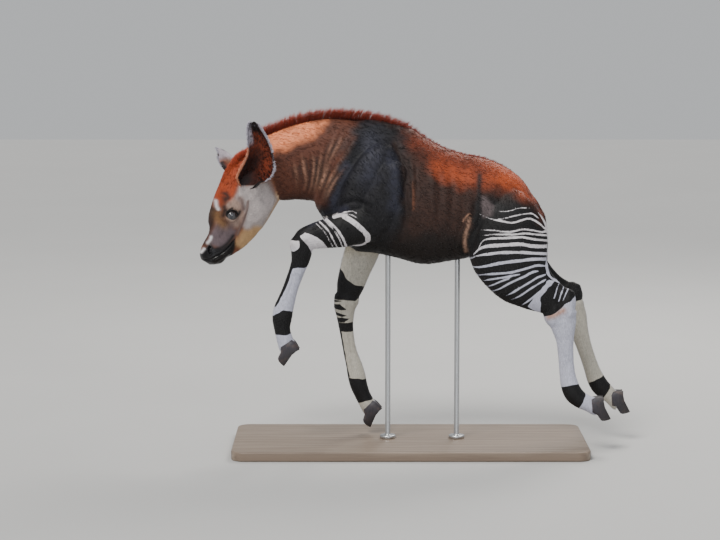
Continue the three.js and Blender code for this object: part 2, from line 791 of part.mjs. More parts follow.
const okapi = new THREE.Group();
for (const [name, [solid, finish]] of Object.entries(parts)) {
  const [color, roughness] = colours[finish];
  const material = new THREE.MeshStandardMaterial({ color, roughness, metalness: finish === 'steel' ? 1 : 0 });
  const mesh = new THREE.Mesh(geometryOf(solid), material);
  mesh.name = name;
  okapi.add(mesh);
}

export default okapi;
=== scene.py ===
# Okapi calf in mid leap on a display stand. One skin, its coat in tufts, eyes, claws, stand and studio.
import math

import bmesh
import bpy
import numpy as np
from mathutils import Matrix, Vector, kdtree


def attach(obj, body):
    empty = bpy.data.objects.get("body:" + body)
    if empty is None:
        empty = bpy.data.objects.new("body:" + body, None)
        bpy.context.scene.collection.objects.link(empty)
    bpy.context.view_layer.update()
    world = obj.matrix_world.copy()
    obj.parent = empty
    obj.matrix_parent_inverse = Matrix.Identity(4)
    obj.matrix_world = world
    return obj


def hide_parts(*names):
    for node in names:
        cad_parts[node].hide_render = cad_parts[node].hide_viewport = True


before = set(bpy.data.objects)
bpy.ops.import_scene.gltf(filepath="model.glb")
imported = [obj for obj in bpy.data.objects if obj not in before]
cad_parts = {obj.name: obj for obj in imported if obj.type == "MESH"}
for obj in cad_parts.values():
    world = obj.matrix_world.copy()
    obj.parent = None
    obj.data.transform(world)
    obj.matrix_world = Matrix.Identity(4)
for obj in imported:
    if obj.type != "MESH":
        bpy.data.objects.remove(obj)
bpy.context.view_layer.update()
mm = 0.001
rng = np.random.default_rng(21)
scene = bpy.context.scene
print("frame loaded,", len(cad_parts), "nodes")

# Camera, as the photo was taken: from the left, a little above the back
view = {"distance": 6.5, "tiltDown": 7.0, "target": (-0.150, 0.0, 0.540), "lens": 108.33, "sensor": 36.0}


def makeCamera():
    data = bpy.data.cameras.new("camera")
    data.lens = view["lens"]
    data.sensor_width = view["sensor"]
    camera = bpy.data.objects.new("camera", data)
    tilt = math.radians(view["tiltDown"])
    away = Vector((0, -math.cos(tilt), math.sin(tilt))) * view["distance"]
    camera.location = Vector(view["target"]) + away
    camera.rotation_euler = (math.pi / 2 - tilt, 0, 0)
    scene.collection.objects.link(camera)
    scene.camera = camera


makeCamera()

# Stations of each form in millimetres: x, y, z, then its size up, down and aside, then the taper
forms = {
    "torso": [
        [394, 0, 682, 14, 20, 16, 0],
        [380, 0, 686, 40, 50, 42, 0],
        [358, 0, 691, 66, 80, 64, 0],
        [330, 0, 699, 88, 108, 84, 0],
        [278, 0, 716, 124, 136, 97, 0],
        [212, 0, 731, 145, 153, 102, -0.05],
        [137, 0, 738, 156, 172, 104, -0.12],
        [59, 0, 745, 176, 190, 112, -0.15],
        [-16, 0, 757, 201, 183, 113, -0.18],
        [-84, 0, 775, 210, 188, 106, -0.2],
        [-150, 0, 784, 211, 189, 94, -0.16],
        [-205, 0, 783, 182, 168, 82, -0.05],
        [-245, 0, 777, 116, 132, 68, 0],
        [-274, 0, 767, 62, 92, 52, 0],
        [-290, 0, 762, 22, 42, 24, 0],
    ],
    "neck": [
        [-130, 0, 828, 158, 140, 74, -0.2],
        [-195, 0, 855, 143, 131, 68, -0.16],
        [-245, 0, 870, 129, 128, 59, -0.12],
        [-299, 0, 870, 119, 125, 53, -0.1],
        [-353, 0, 864, 109, 116, 50, -0.1],
        [-401, 0, 855, 98, 110, 48, -0.1],
        [-442, 0, 847, 89, 95, 46, -0.05],
        [-468, 0, 842, 60, 60, 34, 0],
    ],
    "shoulder": [
        [-66, 52, 920, 16, 16, 14, 0],
        [-76, 60, 902, 42, 40, 24, 0],
        [-100, 72, 862, 56, 54, 30, 0],
        [-130, 79, 812, 60, 62, 32, 0],
        [-156, 78, 765, 56, 66, 33, 0],
        [-174, 74, 722, 44, 60, 31, 0],
        [-182, 68, 690, 20, 30, 18, 0],
    ],
    "upperArm": [
        [-44, 86, 872, 18, 18, 12, 0],
        [-50, 93, 848, 42, 38, 24, 0],
        [-64, 95, 790, 62, 48, 29, 0],
        [-84, 93, 735, 66, 50, 31, 0],
        [-92, 86, 690, 52, 44, 28, 0],
        [-98, 78, 660, 26, 24, 18, 0],
    ],
    "foreLeftReach": [
        [-80, -66, 705, 60, 50, 30, 0],
        [-118, -76, 694, 64, 60, 42, 0],
        [-162, -83, 681, 58, 57, 43, 0],
        [-200, -85, 670, 53, 53, 39, 0],
        [-240, -85, 661, 47, 47, 35, 0],
        [-283, -84, 652, 40, 40, 31, 0],
        [-318, -83, 640, 34, 34, 29, 0],
        [-342, -82, 628, 18, 20, 17, 0],
    ],
    "foreLeftShank": [
        [-320, -82, 658, 16, 16, 15, 0],
        [-322, -82, 634, 36, 32, 29, 0],
        [-322, -82, 606, 34, 32, 28, 0],
        [-326, -81, 580, 29, 28, 24, 0],
        [-335, -81, 553, 25, 25, 20, 0],
        [-348, -80, 518, 24, 24, 18.5, 0],
        [-358, -80, 488, 25, 24, 19, 0],
        [-368, -80, 458, 28, 27, 21, 0],
        [-377, -80, 430, 31, 30, 24, 0],
        [-381, -80, 404, 31, 30, 25, 0],
        [-381, -80, 376, 26, 25, 22, 0],
        [-376, -80, 350, 25, 25, 21.5, 0],
        [-366, -80, 320, 27, 27, 22, 0],
        [-358, -80, 298, 22, 22, 18, 0],
    ],
    "foreRightReach": [
        [-96, 64, 700, 46, 46, 30, 0],
        [-114, 73, 660, 58, 55, 41, 0],
        [-132, 74, 623, 57, 55, 41, 0],
        [-147, 73, 580, 54, 53, 38, 0],
        [-160, 72, 546, 50, 50, 35, 0],
        [-169, 72, 516, 47, 46, 33, 0],
        [-179, 71, 483, 43, 42, 31, 0],
        [-189, 70, 450, 34, 34, 26, 0],
    ],
    "foreRightShank": [
        [-184, 70, 470, 28, 28, 22, 0],
        [-189, 70, 447, 40, 39, 29, 0],
        [-195, 70, 421, 36, 35, 28, 0],
        [-195, 70, 394, 29, 29, 24, 0],
        [-193, 70, 363, 24, 24, 20, 0],
        [-189, 70, 332, 22, 22, 18.5, 0],
        [-184, 70, 301, 21.5, 21.5, 18, 0],
        [-177, 70, 270, 23, 23, 19, 0],
        [-168, 70, 240, 26, 26, 21, 0],
        [-160, 70, 208, 29, 28, 24, 0],
        [-153, 70, 178, 28, 27, 24, 0],
        [-143, 70, 150, 25, 25, 22, 0],
        [-131, 70, 126, 25, 25, 22, 0],
        [-114, 70, 98, 26, 26, 22, 0],
        [-104, 70, 80, 18, 18, 16, 0],
    ],
    "hindLeftReach": [
        [292, -50, 782, 46, 44, 24, 0],
        [286, -62, 745, 86, 82, 42, 0],
        [284, -70, 694, 110, 106, 50, 0],
        [288, -74, 644, 122, 112, 51, 0],
        [300, -76, 594, 122, 104, 48, 0],
        [328, -77, 543, 104, 88, 43, 0],
        [368, -77, 507, 84, 66, 36, 0],
        [408, -77, 479, 66, 50, 30, 0],
        [442, -77, 458, 50, 42, 27, 0],
        [462, -77, 442, 28, 26, 20, 0],
    ],
    "hindLeftShank": [
        [476, -77, 490, 16, 14, 12, 0],
        [463, -77, 466, 44, 34, 24, 0],
        [448, -77, 440, 52, 48, 29, 0],
        [447, -77, 415, 53, 49, 29, 0],
        [453, -76, 390, 42, 42, 26, 0],
        [457, -76, 364, 34, 34, 23.5, 0],
        [460, -76, 339, 28, 28, 21, 0],
        [462, -76, 309, 25, 25, 19.5, 0],
        [465, -75, 270, 24, 24, 19, 0],
        [469, -75, 235, 25, 25, 20, 0],
        [476, -75, 203, 28, 28, 23, 0],
        [488, -75, 177, 29, 29, 25, 0],
        [508, -75, 159, 27, 27, 23, 0],
        [530, -75, 148, 25, 25, 22, 0],
        [556, -75, 137, 27, 27, 22, 0],
        [576, -75, 129, 18, 18, 16, 0],
    ],
    "hindRightReach": [
        [300, 50, 782, 46, 46, 22, 0],
        [298, 61, 745, 86, 88, 39, 0],
        [298, 68, 694, 106, 112, 45, 0],
        [306, 72, 644, 114, 114, 47, 0],
        [325, 75, 594, 114, 100, 46, 0],
        [358, 77, 545, 100, 68, 42, 0],
        [400, 77, 510, 82, 47, 35, 0],
        [440, 77, 482, 66, 36, 30, 0],
        [474, 77, 460, 52, 36, 27, 0],
        [494, 77, 444, 30, 26, 20, 0],
    ],
    "hindRightShank": [
        [508, 77, 490, 16, 14, 12, 0],
        [498, 77, 468, 44, 34, 24, 0],
        [486, 77, 442, 52, 46, 29, 0],
        [489, 77, 416, 51, 46, 29, 0],
        [502, 76, 390, 41, 40, 26, 0],
        [512, 76, 362, 33, 33, 23.5, 0],
        [521, 76, 334, 28, 28, 21, 0],
        [532, 76, 300, 25, 25, 19.5, 0],
        [545, 75, 262, 24, 24, 19, 0],
        [557, 75, 228, 25, 25, 20, 0],
        [569, 75, 198, 28, 28, 23, 0],
        [584, 75, 173, 29, 29, 25, 0],
        [603, 75, 155, 27, 27, 23, 0],
        [618, 75, 141, 25, 25, 22, 0],
        [640, 75, 122, 27, 27, 22, 0],
        [654, 75, 108, 18, 18, 16, 0],
    ],
    "tail": [
        [345, 0, 760, 12, 12, 12, 0],
        [368, 0, 744, 13, 13, 13, 0],
        [386, 0, 710, 12, 12, 12, 0],
        [398, 0, 672, 10.5, 10.5, 10.5, 0],
        [404, 0, 628, 9, 9, 9, 0],
        [405, 0, 588, 8, 8, 8, 0],
        [403, 0, 560, 5, 5, 5, 0],
    ],
    # along the face, to the left, over the forehead
    "skull": [
        [-6, 0, -16, 46, 56, 38, 0],
        [22, 0, -20, 74, 80, 55, 0.02],
        [66, 0, -26, 90, 97, 61, 0.06],
        [112, 0, -28, 90, 95, 61, 0.1],
        [155, 0, -29, 87, 92, 58, 0.16],
        [188, 0, -31, 81, 87, 50, 0.2],
        [217, 0, -35, 75, 77, 41, 0.12],
        [244, 0, -37, 64, 63, 35, 0.02],
        [270, 0, -34, 52, 49, 32, 0],
        [296, 0, -27, 43, 39, 31, 0.03],
        [318, 0, -22, 37, 34, 32, 0.08],
        [334, 0, -19, 29, 28, 28, 0.08],
        [345, 0, -18, 15, 16, 16, 0],
    ],
}
ahead = np.array([-1.0, 0, 0])
upward = np.array([0, 0, 1.0])
aheadDown = np.array([-1.0, 0, -1.0]) / math.sqrt(2)
fronts = {"torso": upward, "neck": upward, "skull": upward, "foreLeftReach": upward}
for limb in ("hindLeftReach", "hindLeftShank", "hindRightReach", "hindRightShank"):
    fronts[limb] = aheadDown
swells = {  # rounded masses on each side of the skull: middle and half sizes
    "brow": [(176, 44, 2), (36, 17, 30)],
    "cheek": [(118, 37, -62), (66, 22, 48)],
    "earRoot": [(72, 40, 2), (26, 17, 18)],
}
chin = [(302, 0, -46), (34, 22, 19)]
headPlace = {"at": (-460, 0, 877), "pitch": 61, "yaw": 14}


def headAxes():
    pitch = math.radians(headPlace["pitch"])
    along = np.array([-math.cos(pitch), 0, -math.sin(pitch)])
    over = np.array([-math.sin(pitch), 0, math.cos(pitch)])
    turn = np.array(Matrix.Rotation(math.radians(headPlace["yaw"]), 3, "Z"))
    return turn @ np.stack([along, np.cross(over, along), over], axis=1)


headTurn = headAxes()
headAt = np.array(headPlace["at"], float)


def fromHead(points):
    return np.asarray(points) @ headTurn.T + headAt


def toHead(points):
    return (np.asarray(points) - headAt) @ headTurn


# Distance to a place on the head's left, or on its right to the mirrored place
def headGap(local, place):
    return np.linalg.norm(local * (1, 0, 1) + abs(local) * (0, 1, 0) - place, axis=1)


def unit(vectors):
    return vectors / (np.linalg.norm(vectors, axis=-1, keepdims=True) + 1e-12)


def smoothStep(low, high, value):
    share = np.clip((value - low) / (high - low), 0, 1)
    return share * share * (3 - 2 * share)


def spline(points, place):
    points = np.asarray(points, float)
    padded = np.vstack([2 * points[0] - points[1], points, 2 * points[-1] - points[-2]])
    place = np.clip(place, 0, len(points) - 1)
    span = np.minimum(place.astype(int), len(points) - 2)
    t = (place - span)[:, None]
    a, b, c, d = (padded[span + k] for k in range(4))
    bend = (2 * a - 5 * b + 4 * c - d) * t**2 + (3 * b - a - 3 * c + d) * t**3
    return 0.5 * (2 * b + (c - a) * t + bend)


def smoothLine(points, count):
    return spline(points, np.linspace(0, len(points) - 1, count))


def tubeFaces(rings, sides, closed=True):
    ring = np.arange(rings - 1)[:, None] * sides
    here = np.arange(sides if closed else sides - 1)[None]
    after = (here + 1) % sides
    quads = np.stack([ring + here, ring + sides + here, ring + sides + after, ring + after], axis=-1)
    return quads.reshape(-1, 4)


# A closed skin swept through stations. Front is the side that the 'up' size is measured to.
def loft(stations, front=ahead, grow=0.0, sides=40, rings=6):
    stations = np.asarray(stations, float)
    last = len(stations) - 1
    place = np.linspace(0, last, last * rings + 1)
    middle = spline(stations[:, :3], place)
    size = spline(stations[:, 3:6], place) + grow
    taper = np.interp(place, range(last + 1), stations[:, 6])[:, None]
    step = 0.01 * last
    tangent = unit(spline(stations[:, :3], place + step) - spline(stations[:, :3], place - step))
    up = unit(front - (tangent @ front)[:, None] * tangent)
    side = np.cross(tangent, up)
    angle = np.linspace(0, 2 * math.pi, sides, endpoint=False)
    high = np.sin(angle)[None]
    rise = high * np.where(high > 0, size[:, :1], size[:, 1:2])
    wide = np.cos(angle)[None] * size[:, 2:3] * (1 + taper * high)
    points = middle[:, None] + up[:, None] * rise[..., None] + side[:, None] * wide[..., None]
    points = np.vstack([points.reshape(-1, 3), middle[0], middle[-1]])
    faces = tubeFaces(len(place), sides).tolist()
    end = (len(place) - 1) * sides
    for j in range(sides):
        following = (j + 1) % sides
        faces.append([len(points) - 2, j, following])
        faces.append([len(points) - 1, end + following, end + j])
    return points, faces


def ball(at, size, around=32):
    turns = around // 2
    polar = np.linspace(0, math.pi, turns + 1)[1:-1, None]
    angle = np.linspace(0, 2 * math.pi, around, endpoint=False)[None]
    shape = (np.sin(polar) * np.cos(angle), np.sin(polar) * np.sin(angle), np.cos(polar) + 0 * angle)
    points = np.stack(shape, axis=-1).reshape(-1, 3)
    points = np.vstack([points, [0, 0, 1], [0, 0, -1]]) * size + at
    faces = tubeFaces(turns - 1, around).tolist()
    end = (turns - 2) * around
    for j in range(around):
        following = (j + 1) % around
        faces.append([len(points) - 2, j, following])
        faces.append([len(points) - 1, end + following, end + j])
    return points, faces


def merged(pieces):
    points = []
    faces = []
    count = 0
    for piecePoints, pieceFaces in pieces:
        points.append(piecePoints)
        faces.extend([[i + count for i in face] for face in pieceFaces])
        count += len(piecePoints)
    return np.vstack(points), faces


# Points in millimetres become a mesh object in metres
def makeObject(name, points, faces, smooth=True):
    mesh = bpy.data.meshes.new(name)
    sizes = np.array([len(face) for face in faces]) if isinstance(faces, list) else None
    flat = np.concatenate(faces) if sizes is not None else faces.reshape(-1)
    if sizes is None:
        sizes = np.full(len(faces), faces.shape[1])
    mesh.vertices.add(len(points))
    mesh.vertices.foreach_set("co", (np.asarray(points) * mm).astype(np.float32).ravel())
    mesh.loops.add(len(flat))
    mesh.loops.foreach_set("vertex_index", flat.astype(np.int32))
    mesh.polygons.add(len(sizes))
    mesh.polygons.foreach_set("loop_start", (np.cumsum(sizes) - sizes).astype(np.int32))
    mesh.polygons.foreach_set("use_smooth", np.full(len(sizes), smooth))
    mesh.update(calc_edges=True)
    obj = bpy.data.objects.new(name, mesh)
    scene.collection.objects.link(obj)
    return obj


def faceOutward(obj):
    shape = bmesh.new()
    shape.from_mesh(obj.data)
    bmesh.ops.recalc_face_normals(shape, faces=shape.faces)
    shape.to_mesh(obj.data)
    shape.free()


def pointsOf(obj):
    values = np.empty(len(obj.data.vertices) * 3, np.float32)
    obj.data.vertices.foreach_get("co", values)
    return values.reshape(-1, 3).astype(float) / mm


def normalsOf(obj):
    values = np.empty(len(obj.data.vertices) * 3, np.float32)
    obj.data.vertex_normals.foreach_get("vector", values)
    return values.reshape(-1, 3).astype(float)


def setPoints(obj, points):
    obj.data.vertices.foreach_set("co", (points * mm).astype(np.float32).ravel())
    obj.data.update()


def applyModifiers(obj):
    graph = bpy.context.evaluated_depsgraph_get()
    done = bpy.data.meshes.new_from_object(obj.evaluated_get(graph))
    obj.modifiers.clear()
    old = obj.data
    obj.data = done
    bpy.data.meshes.remove(old)


def floatAttribute(obj, name, values):
    obj.data.attributes.new(name, "FLOAT", "POINT").data.foreach_set("value", values.astype(np.float32))


def colourAttribute(obj, name, values):
    rows = np.ones((len(values), 4), np.float32)
    rows[:, :3] = values
    obj.data.color_attributes.new(name, "FLOAT_COLOR", "POINT").data.foreach_set("color", rows.ravel())


# Distance from points in a plane to a line, and to the edge of a closed patch (positive inside)
def lineDistance(points, line, closed=False):
    line = np.asarray(line, float)
    ends = np.roll(line, -1, axis=0) if closed else line[1:]
    starts = line if closed else line[:-1]
    best = np.full(len(points), 1e9)
    share = np.zeros(len(points))
    for k, (a, b) in enumerate(zip(starts, ends)):
        t = np.clip((points - a) @ (b - a) / ((b - a) @ (b - a) + 1e-9), 0, 1)
        gap = np.linalg.norm(points - a - t[:, None] * (b - a), axis=1)
        nearer = gap < best
        best[nearer] = gap[nearer]
        share[nearer] = (k + t[nearer]) / len(starts)
    return best, share


def patchDepth(points, outline):
    outline = np.asarray(outline, float)
    gap = lineDistance(points, outline, closed=True)[0]
    inside = np.zeros(len(points), bool)
    for a, b in zip(outline, np.roll(outline, -1, axis=0)):
        crosses = (a[1] > points[:, 1]) != (b[1] > points[:, 1])
        rise = np.where(abs(b[1] - a[1]) < 1e-9, 1e-9, b[1] - a[1])
        inside ^= crosses & (points[:, 0] < (b[0] - a[0]) * (points[:, 1] - a[1]) / rise + a[0])
    return np.where(inside, gap, -gap)


# The flesh: every form joined, remeshed into one skin and smoothed
flesh = {
    "under": {"torso": -3.2, "neck": -3.2, "skull": -1.6, "limb": -1.6, "tail": -1.2},  # kept for the coat
    "voxel": 3.7,
    "smoothing": 14,
    "smoothBy": 0.5,
    "growBack": -0.53,
}
hoofs = {  # middle of the coronet and the way to the toe in the side plane
    "claw_fore_left": {"at": (-362, -80, 317), "toe": (-0.763, -0.647)},
    "claw_fore_right": {"at": (-115, 70, 105), "toe": (-0.625, -0.78)},
    "claw_hind_left": {"at": (558, -75, 141), "toe": (0.2, -0.98)},
    "claw_hind_right": {"at": (634, 75, 134), "toe": (0.2, -0.98)},
}
coronetLean = math.radians(18)
footSize = 90  # what lies nearer than this to a coronet belongs to its foot


def hoofAxes(hoof):
    toward = unit(np.array([hoof["toe"][0], 0, hoof["toe"][1]]))
    aside = np.array([0, -1.0, 0])
    up = np.cross(toward, aside)
    if up @ np.array([-1, 0, 0.2]) < 0:
        up, aside = -up, -aside
    return np.stack([toward, aside, up], axis=1)


# Which points belong to the foot, and how far past the coronet they lie, where horn takes over from skin
def pastCoronet(points, hoof):
    beyond = hoofAxes(hoof) @ np.array([math.sin(coronetLean), 0, -math.cos(coronetLean)])
    away = points - hoof["at"]
    return np.linalg.norm(away, axis=1) < footSize, away @ beyond, beyond


def onSide(stations, side):
    rows = np.array(stations, float)
    rows[:, 1] *= side
    return rows


def fleshPieces():
    under = flesh["under"]
    pieces = [loft(forms[name], upward, under[name], 64, 8) for name in ("torso", "neck")]
    headPieces = [loft(forms["skull"], upward, under["skull"], 56, 8)]
    for middle, size in swells.values():
        for side in (1, -1):
            at = np.array(middle) * (1, side, 1)
            headPieces.append(ball(at, np.array(size) + under["skull"]))
    headPieces.append(ball(chin[0], np.array(chin[1]) + under["skull"]))
    pieces += [(fromHead(points), faces) for points, faces in headPieces]
    for name, stations in forms.items():
        if name.endswith(("Reach", "Shank")):
            pieces.append(loft(stations, fronts.get(name, ahead), under["limb"]))
    for side in (1, -1):
        pieces += [loft(onSide(forms[name], side), ahead, under["limb"]) for name in ("shoulder", "upperArm")]
    pieces.append(loft(forms["tail"], ahead, under["tail"], 24))
    return pieces


# Taubin's smoothing on the edges, which keeps the volume
def smoothed(obj, points, rounds, weight=None):
    edges = np.empty(len(obj.data.edges) * 2, np.int32)
    obj.data.edges.foreach_get("vertices", edges)
    a, b = edges.reshape(-1, 2).T
    count = np.bincount(np.concatenate([a, b]), minlength=len(points)).clip(1)[:, None]
    for turn in range(rounds * 2):
        total = np.zeros_like(points)
        for axis in range(3):
            total[:, axis] += np.bincount(a, points[b, axis], len(points))
            total[:, axis] += np.bincount(b, points[a, axis], len(points))
        step = flesh["growBack"] if turn % 2 else flesh["smoothBy"]
        move = (total / count - points) * step
        points = points + (move if weight is None else move * weight[:, None])
    return points


def makeSkin():
    skin = makeObject("okapi_skin", *merged(fleshPieces()))
    faceOutward(skin)
    remesh = skin.modifiers.new("remesh", "REMESH")
    remesh.mode = "VOXEL"
    remesh.voxel_size = flesh["voxel"] * mm
    applyModifiers(skin)
    points = smoothed(skin, pointsOf(skin), flesh["smoothing"])
    for hoof in hoofs.values():
        near, reach, beyond = pastCoronet(points, hoof)
        points[near] -= np.maximum(reach[near], 0)[:, None] * beyond
    setPoints(skin, points)
    return skin


skin = makeSkin()
print("skin", len(skin.data.vertices), "points")

# Folds, muscles and tendons in the side plane: height, half width, then x, z along it
bodyFolds = [
    [5, 13, (-144, 971), (-173, 907), (-209, 848), (-238, 789), (-253, 715)],
    [-6, 9, (-47, 925), (-24, 863), (-18, 789), (-15, 715), (-26, 641)],
    [4, 11, (-58, 900), (-42, 830), (-36, 760), (-38, 690), (-50, 640)],
    [-2.4, 5, (-6, 878), (0, 819), (0, 745), (-9, 695)],
    [-2.0, 5, (11, 863), (15, 804), (9, 730)],
    [1.6, 5, (3, 868), (8, 810), (5, 735)],
    [-2.6, 8, (-115, 913), (-56, 930), (-24, 913)],
    [-3.5, 9, (191, 790), (186, 724), (168, 677), (154, 627), (163, 600)],
    [4.5, 8, (172, 742), (166, 700), (150, 650), (142, 612)],
    [-4, 8, (210, 775), (207, 715), (190, 656), (176, 606)],
    [3.5, 18, (196, 822), (230, 812), (262, 800)],
    [-3, 16, (262, 765), (292, 700), (310, 640)],
    [3, 10, (-221, 748), (-194, 766), (-156, 772), (-115, 754)],
    [-3.5, 7, (-226, 732), (-194, 750), (-156, 755), (-118, 738)],
    [2.2, 9, (60, 860), (66, 790), (62, 690)],
    [2.2, 9, (96, 845), (104, 780), (100, 680)],
    [2.0, 9, (130, 830), (140, 770), (134, 672)],
    [-1.6, 8, (78, 852), (85, 786), (80, 684)],
    [-1.6, 8, (113, 838), (122, 775), (116, 676)],
]
neckFolds = [
    [2.0, 4.5, (-324, 904), (-318, 860), (-310, 810), (-319, 765)],
    [2.0, 4.5, (-295, 910), (-286, 860), (-292, 801), (-307, 759)],
    [2.2, 4.5, (-259, 916), (-268, 869), (-277, 810), (-292, 759)],
    [2.6, 5, (-215, 957), (-239, 904), (-256, 845), (-268, 798), (-283, 756)],
    [2.6, 5, (-191, 960), (-215, 916), (-239, 869), (-256, 821), (-271, 768)],
    [3.4, 7, (-159, 946), (-185, 904), (-215, 863), (-236, 821), (-254, 774), (-265, 738)],
    [1.6, 5, (-180, 869), (-215, 827), (-239, 786), (-254, 744)],
    [1.6, 4.5, (-348, 875), (-339, 830), (-336, 771)],
    [1.4, 4.5, (-372, 890), (-366, 840), (-360, 790)],
]
limbFolds = {
    "left": [
        [3, 9, (-300, 655), (-318, 640), (-334, 628)],
        [-3, 7, (-232, 706), (-280, 684), (-306, 668)],
        [-2.5, 4, (-346, 540), (-354, 505), (-362, 470)],
        [2, 6, (-330, 630), (-336, 600), (-338, 575)],
        [-6, 10, (385, 560), (420, 512), (448, 482)],
        [-5, 9, (432, 470), (446, 430), (452, 395)],
        [3.5, 8, (470, 480), (474, 440), (472, 405)],
        [-2.5, 4, (458, 350), (463, 300), (468, 250)],
        [2.5, 6, (426, 448), (424, 425), (430, 402)],
    ],
    "right": [
        [3, 9, (-184, 455), (-196, 430), (-200, 405)],
        [-2.5, 4, (-186, 365), (-180, 310), (-170, 255)],
        [-6, 10, (415, 556), (452, 512), (482, 482)],
        [-5, 9, (470, 470), (486, 430), (500, 395)],
        [3.5, 8, (508, 480), (514, 440), (522, 405)],
        [-2.5, 4, (520, 340), (536, 295), (552, 245)],
    ],
}
headFolds = [  # along the face, over the face
    [2.0, 5, (214, 20), (236, 12), (262, 6), (284, 4)],
    [-1.8, 6, (200, 2), (222, -8), (246, -14), (272, -16)],
    [1.3, 2.2, (113, -14), (136, -34), (166, -41), (197, -48), (228, -54)],
    [-2.6, 7, (140, -30), (168, -32), (196, -30), (214, -22)],
    [3, 10, (60, -86), (100, -112), (150, -116), (200, -104)],
    [-3, 9, (30, -40), (46, -72), (70, -104)],
    [-2, 3, (196, 8), (207, 0), (214, -10)],
    [2.5, 6, (150, 16), (168, 20), (188, 24)],
    [2.0, 4, (330, -30), (312, -33), (292, -47), (266, -57)],
    [1.8, 4, (322, -42), (300, -56), (276, -64)],
    [-1.6, 3, (250, -4), (262, -20), (262, -38)],
]


def foldHeight(plane, folds):
    height = np.zeros(len(plane))
    for rise, width, *line in folds:
        line = smoothLine(line, 16)
        low, high = line.min(axis=0) - 3 * width, line.max(axis=0) + 3 * width
        near = np.flatnonzero(((plane > low) & (plane < high)).all(axis=1))
        if len(near):
            gap, share = lineDistance(plane[near], line)
            fade = smoothStep(0, 0.2, share) * smoothStep(0, 0.2, 1 - share)
            height[near] += rise * np.exp(-((gap / width) ** 2)) * (0.25 + 0.75 * fade)
    return height


def sculptBody(points, normals):
    plane = points[:, [0, 2]]
    sideways = smoothStep(0.25, 0.75, abs(normals[:, 1]))
    onTrunk = smoothStep(-430, -405, points[:, 0])
    height = foldHeight(plane, bodyFolds + neckFolds) * onTrunk
    for name, side in (("left", -1), ("right", 1)):
        outer = points[:, 1] * side > 20
        height[outer] += foldHeight(plane[outer], limbFolds[name])
    x, y, z = points.T
    behind = smoothStep(0.1, 0.8, normals[:, 0]) * smoothStep(-22, -48, y) * (x > 320)
    points = points + 9 * (behind * smoothStep(540, 600, z) * smoothStep(770, 700, z))[:, None] * (1, 0, 0)
    return points + normals * (height * sideways)[:, None]


skinPoints = sculptBody(pointsOf(skin), normalsOf(skin))
setPoints(skin, smoothed(skin, skinPoints, 2))
print("body sculpted")

# The head is refined where the lids, nostrils and lips are cut
eye = {"at": (186, 44, -7), "radius": 19, "lid": 2.6, "deep": 3.5, "long": 14.5, "high": 11.0, "slant": -112,
       "shift": (-3.0, 2.0), "edge": 1.3}
nostril = {"line": [(300, 2), (307, 1), (313, -3), (316, -8)], "width": 2.1, "deep": 6.0, "rim": 1.0}
mouthLine = [(338, -4), (332, -18), (316, -27), (296, -41), (268, -50), (256, -51), (240, -55)]
lips = {"width": 1.4, "deep": 2.6, "swell": 0.8, "swellWidth": 5.0}


def refine(obj, chosen):
    shape = bmesh.new()
    shape.from_mesh(obj.data)
    shape.verts.ensure_lookup_table()
    edges = [edge for edge in shape.edges if chosen[edge.verts[0].index] and chosen[edge.verts[1].index]]
    bmesh.ops.subdivide_edges(shape, edges=edges, cuts=1, use_grid_fill=True)
    shape.to_mesh(obj.data)
    shape.free()


def nearFeatures(local):
    eyes = headGap(local, eye["at"]) < 31
    mouth = lineDistance(local[:, [0, 2]], mouthLine)[0] < 11
    nose = (headGap(local, (311, 25, 0)) < 22) | (local[:, 0] > 318)
    return eyes | (local[:, 0] > 190) & mouth | nose


# Millimetres inside the opening of the lids, and below its long axis, from the middle of the ball
def eyeOpening(away):
    slant = math.radians(eye["slant"])
    flat = away[:, [0, 2]] - eye["shift"]
    long = flat @ (math.cos(slant), math.sin(slant))
    low = flat @ (-math.sin(slant), math.cos(slant))
    return (1 - np.hypot(long / eye["long"], low / eye["high"])) * eye["high"], low


def openEye(local, side):
    middle = np.array(eye["at"]) * (1, side, 1)
    away = local - middle
    far = np.linalg.norm(away, axis=1)
    outward = away[:, 1] * side > -4
    inside, low = eyeOpening(away)
    near = outward & (far < eye["radius"] + 16)
    rim = eye["radius"] + eye["lid"] * (0.45 + 0.55 * smoothStep(0, 4, -inside))
    lidded = np.maximum(far, rim)
    blend = smoothStep(-eye["edge"], eye["edge"] * 0.6, inside)
    sunk = eye["radius"] - eye["deep"]
    target = lidded * (1 - blend) + np.minimum(far, sunk) * blend
    crease = 1.8 * np.exp(-(((inside + 7.5) / 1.8) ** 2)) * smoothStep(2, -8, low)
    target = target - crease * (inside < -3)
    local[near] = (middle + away / far[:, None] * target[:, None])[near]
    return local


def openNostril(local, normals, side):
    plane = local[:, [0, 2]]
    outer = (local[:, 1] * side > 8) & (local[:, 0] > 288)
    gap, share = lineDistance(plane, smoothLine(nostril["line"], 12))
    width = nostril["width"] * (1.25 - 0.6 * share)
    pit = nostril["deep"] * np.exp(-((gap / width) ** 2))
    rim = nostril["rim"] * np.exp(-(((gap - 2.3 * width) / 2.4) ** 2))
    local[outer] += normals[outer] * (rim - pit)[outer, None]
    return local


